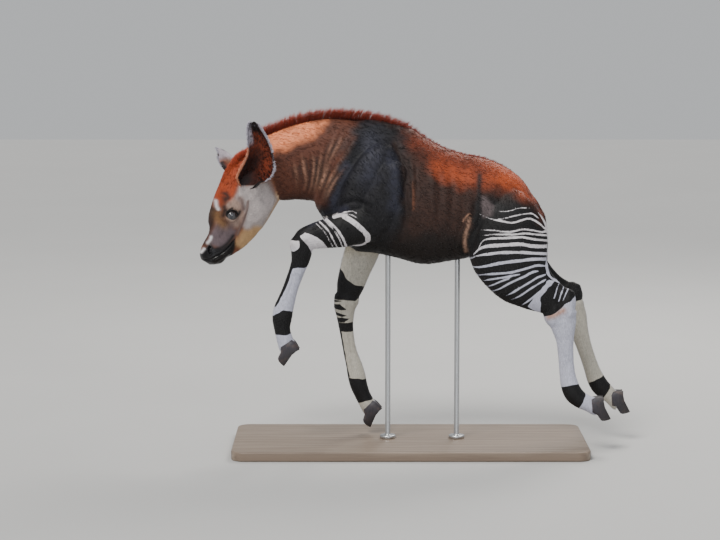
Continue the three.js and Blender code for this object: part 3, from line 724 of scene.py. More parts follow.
def sculptHead(obj):
    local = toHead(pointsOf(obj))
    normals = normalsOf(obj) @ headTurn
    local[:, 2] += 5.5 * smoothStep(150, 300, local[:, 0]) * smoothStep(-60, 0, local[:, 2])
    onHead = smoothStep(20, 60, local[:, 0])
    sideways = smoothStep(0.2, 0.7, abs(normals[:, 1]))
    plane = local[:, [0, 2]]
    height = foldHeight(plane, headFolds) * onHead * sideways
    gap, share = lineDistance(plane, smoothLine(mouthLine, 40))
    front = local[:, 0] > 225
    fade = smoothStep(0, 0.12, 1 - share)
    height -= front * fade * lips["deep"] * np.exp(-((gap / lips["width"]) ** 2))
    height += front * fade * lips["swell"] * np.exp(-(((gap - lips["swellWidth"]) / 3.2) ** 2))
    middleLine = np.exp(-((local[:, 1] / 3) ** 2)) * smoothStep(322, 332, local[:, 0])
    height -= 1.6 * middleLine * (plane[:, 1] > -26)
    local = local + normals * height[:, None]
    for side in (1, -1):
        local = openNostril(local, normals, side)
        local = openEye(local, side)
    setPoints(obj, fromHead(local))


for turn in range(2):
    local = toHead(pointsOf(skin))
    refine(skin, nearFeatures(local) if turn else (local[:, 0] > 120) & (pointsOf(skin)[:, 0] < -470))
    local = toHead(pointsOf(skin))
    soften = smoothStep(100, 150, local[:, 0]) * (pointsOf(skin)[:, 0] < -465)
    setPoints(skin, smoothed(skin, pointsOf(skin), 4, soften))
sculptHead(skin)
print("head sculpted,", len(skin.data.vertices), "points")

# Ears: a leaf rolled to a tube at its root and opening to a cup, joined to the skin. Lean raises the rear
# rim near the root, bow bends the ear, and root is the share of its width that it has where it grows out
earSize = {"thick": 3.4, "sweep": 14, "lean": 20, "rows": 48, "arcs": 32, "ridge": 0.9}
earProfile = [  # share of the length, arc radius, half angle of the arc
    (0, 24, 142),
    (0.07, 36, 124),
    (0.17, 49, 102),
    (0.32, 50, 88),
    (0.5, 44, 80),
    (0.68, 40, 70),
    (0.84, 34, 64),
    (0.94, 25, 62),
    (0.985, 17, 62),
    (1, 11, 60),
]
ears = {
    "left": {"at": (-474, -44, 808), "points": (18, -78, 179), "opens": (-0.3, -0.95, 0), "bow": 33,
             "root": 1.0},
    "right": {"at": (-508, 44, 822), "points": (-64, 158, 64), "opens": (-0.75, 0.2, -0.35), "bow": 0,
              "root": 0.55},
}


def earAxes(ear):
    axis = np.array(ear["points"], float)
    length = np.linalg.norm(axis)
    axis /= length
    opens = np.array(ear["opens"], float)
    opens = unit(opens - (opens @ axis) * axis)
    return axis, opens, np.cross(axis, opens), length


def rootNarrowing(ear, share):
    return ear["root"] + (1 - ear["root"]) * smoothStep(0, 0.5, share)


def earGrid(ear):
    axis, opens, across, length = earAxes(ear)
    place = np.linspace(0, len(earProfile) - 1, earSize["rows"])
    share, radius, degrees = spline(earProfile, place).T
    share = share.clip(0, 1)[:, None]
    radius = (radius.clip(4) * rootNarrowing(ear, share[:, 0]))[:, None]
    half = np.radians(degrees)[:, None]
    middle = np.array(ear["at"]) + axis * length * share
    middle = middle + across * ear["bow"] * np.sin(share**0.8 * math.pi)
    middle = middle + opens * (radius - earSize["sweep"] * np.sin(share * math.pi))
    turn = np.linspace(-1, 1, earSize["arcs"])[None]
    rolled = 1 - 0.05 * smoothStep(0.8, 1, abs(turn)) * smoothStep(0.3, 0.5, share)
    thick = np.minimum(earSize["thick"] * (1 - 0.5 * share), radius * 0.5)
    ridges = earSize["ridge"] * np.cos(turn * 9) * smoothStep(0.15, 0.4, share)
    ridges = ridges * smoothStep(0, 0.3, 1 - share)
    sheets = []
    for inner in (0, 1):
        angle = half * turn * (1 - 0.015 * inner)
        reach = (radius - inner * (thick + ridges)) * rolled
        arc = -np.cos(angle)[..., None] * opens + np.sin(angle)[..., None] * across
        raised = smoothStep(-0.2, 0.9, turn) * earSize["lean"] * (1 - share) ** 2 * smoothStep(0, 0.08, share)
        sheets.append(middle[:, None] + arc * reach[..., None] + axis * raised[..., None])
    return sheets


def earShell(ear):
    outer, inner = earGrid(ear)
    rows, arcs = outer.shape[:2]
    rings = np.concatenate([outer, inner[:, ::-1]], axis=1)
    faces = tubeFaces(rows, 2 * arcs).tolist()
    for row in (0, rows - 1):
        start = row * 2 * arcs
        for j in range(arcs - 1):
            k = 2 * arcs - 1 - j
            faces.append([start + j, start + j + 1, start + k - 1, start + k])
    return rings.reshape(-1, 3), faces


def growEars():
    for name, ear in ears.items():
        shell = makeObject("ear_shell_" + name, *earShell(ear))
        faceOutward(shell)
        join = skin.modifiers.new("ear", "BOOLEAN")
        join.operation = "UNION"
        join.solver = "MANIFOLD"
        join.object = shell
        applyModifiers(skin)
        bpy.data.objects.remove(shell)
    points = pointsOf(skin)
    near = np.zeros(len(points))
    for ear in ears.values():
        axis = earAxes(ear)[0]
        away = points - np.array(ear["at"])
        along = away @ axis
        root = smoothStep(0, 12, along + 22) * smoothStep(0, 18, 62 - along)
        near = np.maximum(near, root * (np.linalg.norm(away - along[:, None] * axis, axis=1) < 46))
    setPoints(skin, smoothed(skin, points, 5, near))
    for face in skin.data.polygons:
        face.use_smooth = True


growEars()
print("ears joined,", len(skin.data.vertices), "points")


# Eyes: a ball with the clear bulge over the iris; its pole looks out of the head
def makeEye(name, side):
    points, faces = ball((0, 0, 0), np.ones(3), 56)
    polar = np.degrees(np.arccos(np.clip(points[:, 2], -1, 1)))
    bulge = 1.1 * (1 - smoothStep(20, 48, polar))
    look = unit(np.array([0.22, side, 0.08]))
    long = unit(np.cross(look, np.array([0.94, 0, -0.33])))
    turn = np.stack([np.cross(long, look), long, look], axis=1)
    placed = (points * (eye["radius"] + bulge)[:, None]) @ turn.T + np.array(eye["at"]) * (1, side, 1)
    obj = makeObject(name + "_ball", fromHead(placed), faces)
    faceOutward(obj)
    floatAttribute(obj, "acrossIris", points[:, 0])
    floatAttribute(obj, "upIris", points[:, 1])
    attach(obj, "root")
    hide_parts(name)
    return obj


eyeBalls = [makeEye("eye_left", 1), makeEye("eye_right", -1)]

# Claws: two to a foot, sharper and finer than the solids, rooted inside the skin
claw = {"halfWidth": 11.8, "apart": 12.8, "toe": 49, "heel": 24, "sole": -21, "splay": 3.5, "wave": 0.35,
        "pointed": 0.30, "outerWall": 0.96}


def makeClaw(node, hoof, side):
    half, toe, heel, sole = (claw[key] for key in ("halfWidth", "toe", "heel", "sole"))
    rows = [
        [0, 0, sole, toe - 5, heel - 2.5, half - 2.5, 0],
        [0, 0, sole + 1, toe - 2, heel - 1, half - 0.8, 0],
        [0, 0, sole + 3, toe - 1, heel, half, 0],
        [-2, 0, sole + 10, toe - 7, heel - 1, half + 0.3, 0],
        [-4, 0, -2, toe - 15, heel - 1, half + 0.3, 0],
        [-5, 0, 7, toe - 21, heel - 2, half - 0.3, 0],
        [-6, 0, 16, toe - 27, heel - 6, half - 2.5, 0],
    ]
    points, faces = loft(rows, np.array([1.0, 0, 0]), 0, 44, 6)
    angle = np.arctan2(points[:, 1], points[:, 0] + 4)
    points[:, 1] *= 1 - claw["pointed"] * smoothStep(0, 1, points[:, 0] / toe) ** 2
    points[points[:, 1] * side > 0, 1] *= claw["outerWall"]
    ring = np.sin(points[:, 2] * 1.5 + 0.5 * np.cos(angle)) * claw["wave"]
    ring = ring * smoothStep(sole + 3, sole + 8, points[:, 2])
    points[:, :2] *= (1 + ring / 30)[:, None]
    splay = math.radians(-claw["splay"] * side)
    turned = points @ np.array(Matrix.Rotation(splay, 3, "Z")).T + (0, claw["apart"] * side, 0)
    obj = makeObject(node + "_horn", turned @ hoofAxes(hoof).T + np.array(hoof["at"]), faces)
    faceOutward(obj)
    floatAttribute(obj, "wallHeight", points[:, 2])
    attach(obj, "root")
    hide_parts(node)
    return obj


claws = [
    makeClaw(leg + tail, hoof, side)
    for leg, hoof in hoofs.items()
    for side, tail in ((1, "_a"), (-1, "_b"))
]

# Display stand: a board with rounded edges and two rods with turned collars
stand = {"length": 1060, "width": 440, "thick": 28, "corner": 40, "round": 4, "rods": (-66, 142), "rod": 8,
         "collar": 24, "collarHigh": 10, "into": 14}


def boardShape():
    arc = np.linspace(0, math.pi / 2, 12)
    drop = stand["round"]
    rounds = [(drop * (1 - math.sin(a)), drop * (1 - math.cos(a))) for a in np.linspace(0, math.pi / 2, 6)]
    profile = rounds + [(inset, stand["thick"] - height) for inset, height in rounds[::-1]]
    points = []
    for inset, height in profile:
        corner = stand["corner"]
        for quarter, (sx, sy) in enumerate(((1, 1), (-1, 1), (-1, -1), (1, -1))):
            angle = arc + quarter * math.pi / 2
            x = sx * (stand["length"] / 2 - corner) + (corner - inset) * np.cos(angle)
            y = sy * (stand["width"] / 2 - corner) + (corner - inset) * np.sin(angle)
            points.append(np.stack([x, y, np.full(len(arc), height)], axis=1))
    points = np.vstack(points)
    around = 4 * len(arc)
    faces = tubeFaces(len(profile), around).tolist()
    faces.append(list(range(around)))
    faces.append(list(range(len(points) - around, len(points)))[::-1])
    return points, faces


def turnedShape(profile, x, sides=64):
    angle = np.linspace(0, 2 * math.pi, sides, endpoint=False)
    points = [np.stack([x + r * np.cos(angle), r * np.sin(angle), np.full(sides, z)], axis=1)
              for r, z in profile]
    faces = tubeFaces(len(profile), sides).tolist()
    faces.append(list(range(sides)))
    faces.append(list(range((len(profile) - 1) * sides, len(profile) * sides))[::-1])
    return np.vstack(points), faces


def makeStand():
    board = makeObject("stand_board", *boardShape())
    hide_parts("stand_base")
    made = [board]
    top = pointsOf(skin)
    for x, node in zip(stand["rods"], ("stand_rod_front", "stand_rod_rear")):
        under = top[(abs(top[:, 0] - x) < 8) & (abs(top[:, 1]) < 8)][:, 2].min()
        foot, rod, collar = stand["thick"] + 0.3, stand["rod"], stand["collar"]
        high = foot + stand["collarHigh"]
        profile = [(collar - 0.8, foot), (collar, foot + 0.8), (collar, high - 3), (collar - 0.6, high - 1.4)]
        profile += [(collar - 2, high - 0.4), (collar - 3.4, high), (rod + 3, high), (rod + 1.2, high + 0.5)]
        profile += [(rod + 0.3, high + 1.6), (rod, high + 3), (rod, under - 2), (rod, under + stand["into"])]
        piece = makeObject(node + "_turned", *turnedShape(profile, x))
        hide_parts(node)
        made.append(piece)
    for piece in made:
        faceOutward(piece)
        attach(piece, "root")
    return made


standPieces = makeStand()
print("eyes, claws and stand made")


# Markings, with the highlights, sheen and shade painted among them. Colours as seen, 0 to 255; places in
# millimetres, x and z, or along and over the face
hair = {
    "chestnut": (112, 48, 26), "bright": (170, 74, 34), "barrel": (50, 29, 21), "belly": (26, 16, 13),
    "blueBlack": (17, 16, 21), "sheen": (38, 39, 52), "black": (12, 11, 13), "nape": (232, 138, 92),
    "neckBrown": (88, 48, 33), "grooveShade": (34, 19, 14), "fold": (150, 112, 92), "tan": (186, 146, 124),
    "hipGrey": (88, 77, 78), "white": (214, 209, 212), "cream": (206, 194, 166), "rose": (176, 136, 118),
    "orange": (156, 62, 26), "faceBrown": (116, 68, 44), "bridge": (44, 24, 20), "ochre": (118, 86, 56),
    "eyeGrey": (152, 128, 116), "cheekPale": (178, 168, 166), "vein": (108, 88, 82), "jaw": (186, 150, 108),
    "muzzle": (98, 84, 88), "nose": (10, 8, 10), "earDarkAndShade": (26, 16, 16), "earRed": (122, 52, 30),
    "fringeAndSheen": (176, 172, 184), "rust": (142, 46, 26), "rustDark": (44, 15, 11), "paintedRimLight": (206, 136, 104),
}
bodyTints = [  # colour, softness, outline
    ["neckBrown", 30, (-480, 990), (-120, 1020), (-170, 700), (-480, 700)],
    # The rump's own chestnut, painted brighter over its top: partly a painted highlight
    ["bright", 34, (70, 940), (64, 846), (120, 812), (190, 800), (262, 800), (330, 770), (372, 744),
     (392, 712), (412, 720), (350, 830), (290, 900), (180, 960)],
    ["blueBlack", 26, (-150, 1000), (-24, 975), (-18, 860), (-14, 740), (-28, 640), (-90, 560),
     (-290, 640), (-262, 740), (-226, 820), (-196, 900)],
    ["belly", 40, (-60, 650), (30, 668), (110, 672), (190, 640), (210, 520), (-120, 540)],
    ["black", 30, (186, 742), (240, 778), (330, 762), (372, 738), (390, 702), (430, 680), (440, 400),
     (300, 380), (180, 520), (170, 660)],
    ["black", 26, (-420, 700), (-210, 735), (-120, 720), (-60, 600), (-60, 60), (-450, 60)],
    ["black", 20, (330, 560), (700, 560), (700, 60), (330, 60)],
    # The nape's own orange, painted as bright as its highlight along the top of the neck
    ["nape", 18, (-452, 960), (-400, 972), (-320, 986), (-250, 990), (-262, 958), (-310, 934), (-372, 908),
     (-430, 884)],
    ["hipGrey", 9, (201, 770), (222, 766), (244, 738), (238, 712), (216, 708), (202, 732)],
]
bodyStrokes = [  # colour, half width, softness, line
    ["chestnut", 26, 24, (28, 940), (90, 900), (150, 872), (215, 850)],
    # The sheen strokes are painted highlights: a painted reflection of light on the black hair of the
    # shoulder
    ["sheen", 14, 30, (-120, 940), (-112, 880), (-130, 830)],
    ["sheen", 10, 16, (-60, 890), (-46, 820), (-50, 740)],
    ["sheen", 8, 12, (-190, 860), (-216, 800), (-232, 745)],
    ["black", 5, 8, (201, 832), (200, 780), (195, 730), (188, 680), (180, 630), (178, 590)],
    # Pale lines along the flank's fold: painted highlights on its crest
    ["tan", 3.0, 3, (171, 704), (165, 672), (159, 646), (160, 622), (165, 602)],
    ["tan", 3.0, 3, (163, 660), (158, 638), (160, 622)],
    ["fold", 0.8, 2.4, (172, 720), (160, 708), (152, 696)],
    ["faceBrown", 1.2, 5, (2, 812), (6, 775), (5, 735)],
    # Dark strokes along the sunk folds behind the shoulder: painted shade in the grooves
    ["grooveShade", 3, 8, (-47, 925), (-24, 863), (-18, 789), (-15, 715), (-26, 641)],
    ["grooveShade", 2.5, 6, (-6, 878), (0, 819), (0, 745), (-9, 695)],
    # A sheen stroke on the near forearm: a painted highlight
    ["sheen", 5, 10, (-300, 690), (-250, 715), (-190, 735)],
]
lightStrokes = [["rose", 4, 9, (408, 412), (430, 420), (452, 432)]]  # over the pale hair
foldHighlightWidths = [1.8, 1.6, 1.8, 2.2, 2.2, 3.4, 1.2, 1.2]  # half widths of the painted highlights on the crests of the neck's folds
noseOutline = [(288, 6), (304, 12), (330, 24), (370, 10), (360, -60), (300, -76), (262, -66), (240, -54),
               (262, -44), (286, -32), (296, -12)]
headTints = [
    ["jaw", 12, (60, -96), (176, -84), (206, -66), (262, -60), (262, -92), (150, -140), (60, -130)],
    ["cheekPale", 11, (58, 2), (100, 14), (138, 6), (160, -34), (196, -52), (204, -66), (184, -86),
     (172, -112), (84, -112), (62, -84), (48, -62), (42, -34)],
    ["eyeGrey", 9, (136, 26), (166, 26), (204, 6), (216, -20), (206, -46), (168, -38), (142, -14)],
    ["muzzle", 12, (222, 22), (268, 18), (296, 6), (290, -38), (246, -50), (214, -46), (212, -20)],
    ["orange", 13, (-20, 90), (150, 80), (178, 40), (150, 27), (112, 14), (86, 22), (62, 6), (-20, 20)],
    ["bridge", 8, (186, 70), (310, 46), (300, 14), (262, 17), (222, 24), (190, 36)],
    ["nose", 5, *noseOutline],
]
headStrokes = [
    ["ochre", 9, 9, (206, 28), (216, 14), (222, 0)],
    # Dark stroke above the eye: painted shade under the brow
    ["bridge", 3, 6, (172, 26), (186, 19), (198, 15)],
    ["vein", 1.6, 6, (128, -28), (146, -38), (166, -41), (197, -48), (226, -54)],
    ["vein", 4.0, 9, (130, -2), (140, -16), (150, -28)],
    ["nose", 2.5, 4, (164, -22), (174, -24), (186, -20)],
    ["nose", 1.5, 3, (166, 4), (182, 12), (192, 8)],
    ["orange", 5, 7, (88, 30), (120, 28), (146, 24)],
    # Painted shade in the crease behind the brow
    ["grooveShade", 3.5, 12, (140, 38), (146, 28), (156, 34)],
    ["white", 2.4, 4, (170, 50), (180, 43), (188, 35)],
    ["white", 2.4, 2.4, (271, 10), (281, 9), (292, 12)],
    ["white", 2.2, 2.2, (311, 13), (318, 14), (326, 15)],
    ["nose", 4, 6, (238, -44), (258, -42), (284, -30), (300, -18)],
    ["faceBrown", 8, 9, (36, -34), (58, -18), (74, 0)],
]
stripes = [  # half width, then x, z: the thigh's white lines, from the hip down
    [1.2, (236, 732), (256, 728), (274, 726), (296, 730), (312, 736), (330, 737), (349, 736)],
    [1.6, (256, 705), (276, 707), (307, 715), (336, 720), (357, 720), (376, 706)],
    [2.5, (197, 720), (232, 705), (267, 699), (297, 694), (326, 702), (350, 706), (379, 690), (393, 677),
     (412, 668)],
    [2.3, (203, 672), (232, 672), (268, 669), (297, 668), (326, 675), (356, 672), (382, 666), (397, 666),
     (414, 664)],
    [2.5, (212, 655), (238, 659), (277, 660), (306, 660), (335, 663), (365, 659), (397, 655), (414, 652)],
    [3.2, (200, 619), (212, 640), (233, 647), (262, 649), (297, 650), (327, 652), (356, 646), (397, 640),
     (414, 637)],
    [5.0, (186, 598), (203, 616), (227, 625), (262, 628), (297, 631), (327, 631), (356, 625), (395, 622),
     (414, 620)],
    [4.2, (174, 583), (198, 595), (227, 601), (262, 606), (298, 607), (327, 607), (357, 604), (392, 601),
     (412, 598)],
    [4.4, (174, 560), (198, 560), (227, 566), (263, 575), (298, 580), (327, 583), (357, 586), (389, 585),
     (410, 582)],
    [3.4, (192, 533), (216, 539), (245, 542), (275, 545), (298, 548), (322, 554), (345, 560), (372, 567),
     (404, 562)],
    [2.6, (210, 518), (233, 524), (263, 530), (292, 536), (322, 542)],
    [2.4, (225, 500), (245, 509), (269, 521), (292, 530)],
    [3.2, (243, 488), (263, 497), (287, 512), (310, 524), (334, 535), (357, 547), (375, 550)],
    [3.0, (278, 473), (299, 485), (322, 500), (352, 518), (375, 532), (399, 538)],
    [2.6, (299, 464), (323, 476), (352, 497), (381, 515), (399, 524)],
    [2.4, (329, 446), (352, 464), (376, 485), (393, 497)],
    [4.0, (374, 724), (392, 698), (405, 666), (408, 628), (406, 589), (402, 560), (410, 536)],
]
paleHair = {  # what is added to the dark legs and cut again: half width (0 for a patch), then x, z
    "nearFore": [
        ["add", 4.2, (-228, 709), (-203, 716), (-180, 705)],
        ["add", 7.5, (-196, 712), (-170, 697), (-145, 676), (-128, 656), (-127, 643)],
        ["add", 4.2, (-124, 640), (-143, 625), (-170, 621)],
        ["add", 1.4, (-198, 723), (-173, 728), (-160, 722)],
        ["add", 1.3, (-189, 719), (-172, 716), (-157, 707)],
        ["add", 1.5, (-279, 690), (-254, 666), (-239, 640), (-225, 612)],
        ["add", 2.2, (-270, 696), (-244, 672), (-229, 644), (-214, 612)],
        ["add", 1.4, (-258, 703), (-230, 676), (-212, 648), (-200, 616)],
        ["add", 3.4, (-249, 703), (-219, 677), (-201, 650), (-189, 618)],
        ["add", 2.5, (-228, 612), (-200, 611), (-176, 616)],
        ["add", 0, (-328, 652), (-312, 666), (-275, 650), (-257, 634), (-244, 612), (-250, 596),
         (-292, 596), (-300, 620), (-314, 636)],
        ["add", 0, (-372, 604), (-344, 606), (-331, 618), (-327, 642), (-340, 640), (-372, 640)],
        ["add", 0, (-352, 556), (-300, 560), (-310, 500), (-330, 426), (-352, 427), (-379, 432),
         (-401, 421), (-420, 404), (-430, 440), (-380, 500)],
        ["cut", 6.5, (-352, 566), (-369, 515), (-384, 482), (-403, 446)],
        ["add", 0, (-440, 352), (-330, 362), (-310, 280), (-440, 270)],
    ],
    "farFore": [
        ["add", 0, (-270, 604), (-80, 640), (-90, 482), (-135, 481), (-176, 494), (-190, 508), (-214, 545),
         (-270, 556)],
        ["add", 0, (-250, 447), (-165, 440), (-120, 458), (-120, 371), (-250, 373)],
        ["cut", 0, (-250, 441), (-220, 443), (-204, 439), (-222, 434), (-250, 434)],
        ["cut", 0, (-250, 430), (-211, 429), (-188, 413), (-206, 411), (-228, 416), (-250, 416)],
        ["cut", 0, (-250, 410), (-220, 404), (-186, 394), (-206, 391), (-228, 396), (-250, 398)],
        ["cut", 0, (-250, 391), (-200, 386), (-176, 387), (-196, 376), (-222, 374), (-250, 375)],
        ["add", 0, (-240, 343), (-120, 345), (-100, 196), (-215, 204)],
        ["cut", 5.0, (-212, 345), (-204, 300), (-196, 250), (-186, 206)],
        ["add", 0, (-178, 119), (-90, 142), (-60, 60), (-190, 60)],
    ],
    "nearHind": [
        ["add", 0, (346, 442), (361, 432), (386, 422), (384, 474), (404, 498), (426, 516), (410, 524),
         (390, 505), (372, 482)],
        ["add", 0, (376, 400), (398, 410), (432, 427), (457, 449), (486, 470), (540, 502), (540, 214),
         (494, 209), (443, 198), (400, 196)],
        ["add", 1.7, (438, 508), (430, 487), (424, 468)],
        ["add", 1.7, (453, 499), (444, 478), (438, 459)],
        ["add", 1.5, (467, 495), (457, 476), (451, 462)],
        ["add", 3.0, (404, 544), (416, 528), (434, 518), (460, 508), (490, 500)],
        ["add", 0, (526, 184), (600, 176), (610, 80), (480, 90), (505, 138)],
    ],
    "farHind": [
        ["add", 0, (420, 424), (470, 420), (510, 440), (600, 460), (620, 216), (591, 209), (545, 184),
         (530, 180)],
        ["add", 0, (616, 180), (690, 176), (700, 60), (560, 60), (580, 118)],
    ],
}
farShift = [  # height, and how far the thigh's stripes are moved back on the far side
    (60, 72), (210, 72), (330, 62), (440, 40), (520, 32), (620, 20), (700, 12), (800, 4),
]


def linear(name):
    share = np.array(hair[name]) / 255
    return np.where(share < 0.04045, share / 12.92, ((share + 0.055) / 1.055) ** 2.4)


def brushed(tint, plane, waver, chosen, patches, strokes):
    where = np.flatnonzero(chosen)
    for colour, soft, *outline in patches:
        flat = plane[where] + waver[where] * min(1, soft / 24)
        cover = smoothStep(-soft, soft, patchDepth(flat, outline))[:, None]
        tint[where] += (linear(colour) - tint[where]) * cover
    for colour, half, soft, *line in strokes:
        flat = plane[where] + waver[where] * min(1, soft / 24)
        gap = lineDistance(flat, smoothLine(line, 14))[0]
        cover = np.exp(-((gap / (half + 0.55 * soft)) ** 2))[:, None] * 0.92
        tint[where] += (linear(colour) - tint[where]) * cover


def wobble(points, size):
    x, y, z = (points / size).T
    return (np.sin(x + 1.7 * np.sin(0.8 * z + 0.6 * y)) + np.sin(1.3 * z + 1.4 * np.sin(0.9 * x + y))) / 2


# Height above zero means pale hair, in millimetres from its edge
def paleField(points, normals):
    pale = np.full(len(points), -60.0)
    x, y, z = points.T
    near = y < 0
    shift = np.where(near, 0, np.interp(z, *np.array(farShift).T))
    thighPlane = np.stack([x - shift, z + np.where(near, 0, 4 * np.sin(x / 45))], axis=1)
    thigh = np.flatnonzero((x > 160) & (z > 436) & (abs(y) > 8))
    for half, *line in stripes:
        gap, share = lineDistance(thighPlane[thigh], smoothLine(line, 20))
        width = half * (0.25 + 0.75 * smoothStep(0, 0.3, share)) * (0.55 + 0.45 * smoothStep(1.0, 0.9, share))
        pale[thigh] = np.maximum(pale[thigh], width - gap + 0.5 * wobble(points[thigh], 9.0))
    inner = smoothStep(0.1, -0.4, normals[thigh, 1] * np.sign(y[thigh])) * (z[thigh] > 470)
    pale[thigh] -= 12 * inner
    zones = {"nearFore": near & (x < 0), "farFore": ~near & (x < 0), "nearHind": near & (x > 160),
             "farHind": ~near & (x > 160)}
    for zone, chosen in zones.items():
        where = np.flatnonzero(chosen & (z < 760) & (x > -460))
        plane = points[where][:, [0, 2]]
        for way, half, *line in paleHair[zone]:
            line = smoothLine(line, 16) if half else line
            depth = half - lineDistance(plane, line)[0] if half else patchDepth(plane, line)
            depth = depth + 0.8 * wobble(points[where], 7.0) * (1 if half else 2.2)
            field = pale[where]
            pale[where] = np.maximum(field, depth) if way == "add" else np.minimum(field, -depth)
    return pale


def earPlace(points, ear):
    axis, opens, across, length = earAxes(ear)
    place = np.linspace(0, len(earProfile) - 1, 60)
    share, radius, degrees = spline(earProfile, place).T
    away = points - np.array(ear["at"])
    here = (away @ axis / length).clip(0, 1)
    radiusHere = np.interp(here, share, radius) * rootNarrowing(ear, here)
    away = away - across * (ear["bow"] * np.sin(here**0.8 * math.pi))[:, None]
    away = away - opens * (radiusHere - earSize["sweep"] * np.sin(here * math.pi))[:, None]
    turn = np.degrees(np.arctan2(away @ across, -(away @ opens))) / np.interp(here, share, degrees)
    radial = np.linalg.norm(away - (away @ axis)[:, None] * axis, axis=1)
    far = abs(radial - radiusHere)
    rimDepth = -np.cos(np.radians(np.interp(here, share, degrees))) * radiusHere
    cupped = (radial < radiusHere) & (away @ opens < rimDepth + 3) & (here > 0) & (here < 0.34)
    return here, turn, far, away, cupped


def paintEar(tint, points, normals, ear):
    here, turn, far, away, cupped = earPlace(points, ear)
    axis, opens, _, length = earAxes(ear)
    raw = (points - np.array(ear["at"])) @ axis
    onEar = (far < 9) & (raw > 6) & (raw < length + 9) & (abs(turn) < 1.06)
    cross = away - (away @ axis)[:, None] * axis
    inner = onEar & ((normals * cross).sum(axis=1) < 0) | cupped & (normals @ opens > -0.3)
    onEar = onEar | inner
    outer = onEar & ~inner

    def lay(chosen, colour, cover):
        tint[chosen] += (linear(colour) - tint[chosen]) * cover[chosen, None]

    whole = np.ones(len(points))
    lay(inner, "earRed", whole)
    # Dark lower half of the cup on one side: painted shade in the hollow of the ear
    lay(inner, "earDarkAndShade", smoothStep(0.1, -0.35, turn) * smoothStep(0.75, 0.35, here) * 0.85)
    lay(inner, "earDarkAndShade", smoothStep(0.66, 0.88, turn))
    lay(inner, "earDarkAndShade", smoothStep(0.83, 0.88, here) * smoothStep(0.55, 0.25, abs(turn + 0.2)))
    # Painted shade deep at the root of the ear
    lay(inner, "earDarkAndShade", smoothStep(0.2, 0.06, here) * 0.8)
    # A pinkish band along the front edge: painted rim light
    lay(inner, "paintedRimLight", smoothStep(-0.88, -0.97, turn) * smoothStep(0.62, 0.5, here))
    # Pale rims, edge and tip: partly pale fringe hair, partly a painted sheen of light on the dark hair
    lay(inner, "fringeAndSheen", smoothStep(0.93, 0.98, abs(turn)) * smoothStep(0.6, 0.76, here))
    lay(inner, "fringeAndSheen", smoothStep(-0.5, -0.74, turn) * smoothStep(0.6, 0.72, here) * 0.9)
    lay(inner, "fringeAndSheen", smoothStep(0.93, 0.97, here) * 0.8)
    lay(outer, "faceBrown", whole)
    # The back of the ear paler towards its middle: a painted sheen of light on the hair
    lay(outer, "fringeAndSheen", smoothStep(0.3, 0.5, here) * 0.75)
    band = smoothStep(0.74, 0.8, here) * smoothStep(0.95, 0.9, here)
    lay(outer, "earDarkAndShade", band * smoothStep(0.75, 0.5, abs(turn)))


headCut = {"at": (-444, 0, 952), "towards": (0.965, 0, 0.262)}


# Millimetres behind the cut between head and neck, and which points are the head's
def splitHead(points):
    behind = (points - headCut["at"]) @ np.array(headCut["towards"])
    return behind, (behind < 0) & (points[:, 2] > 540) & (points[:, 0] < -380)


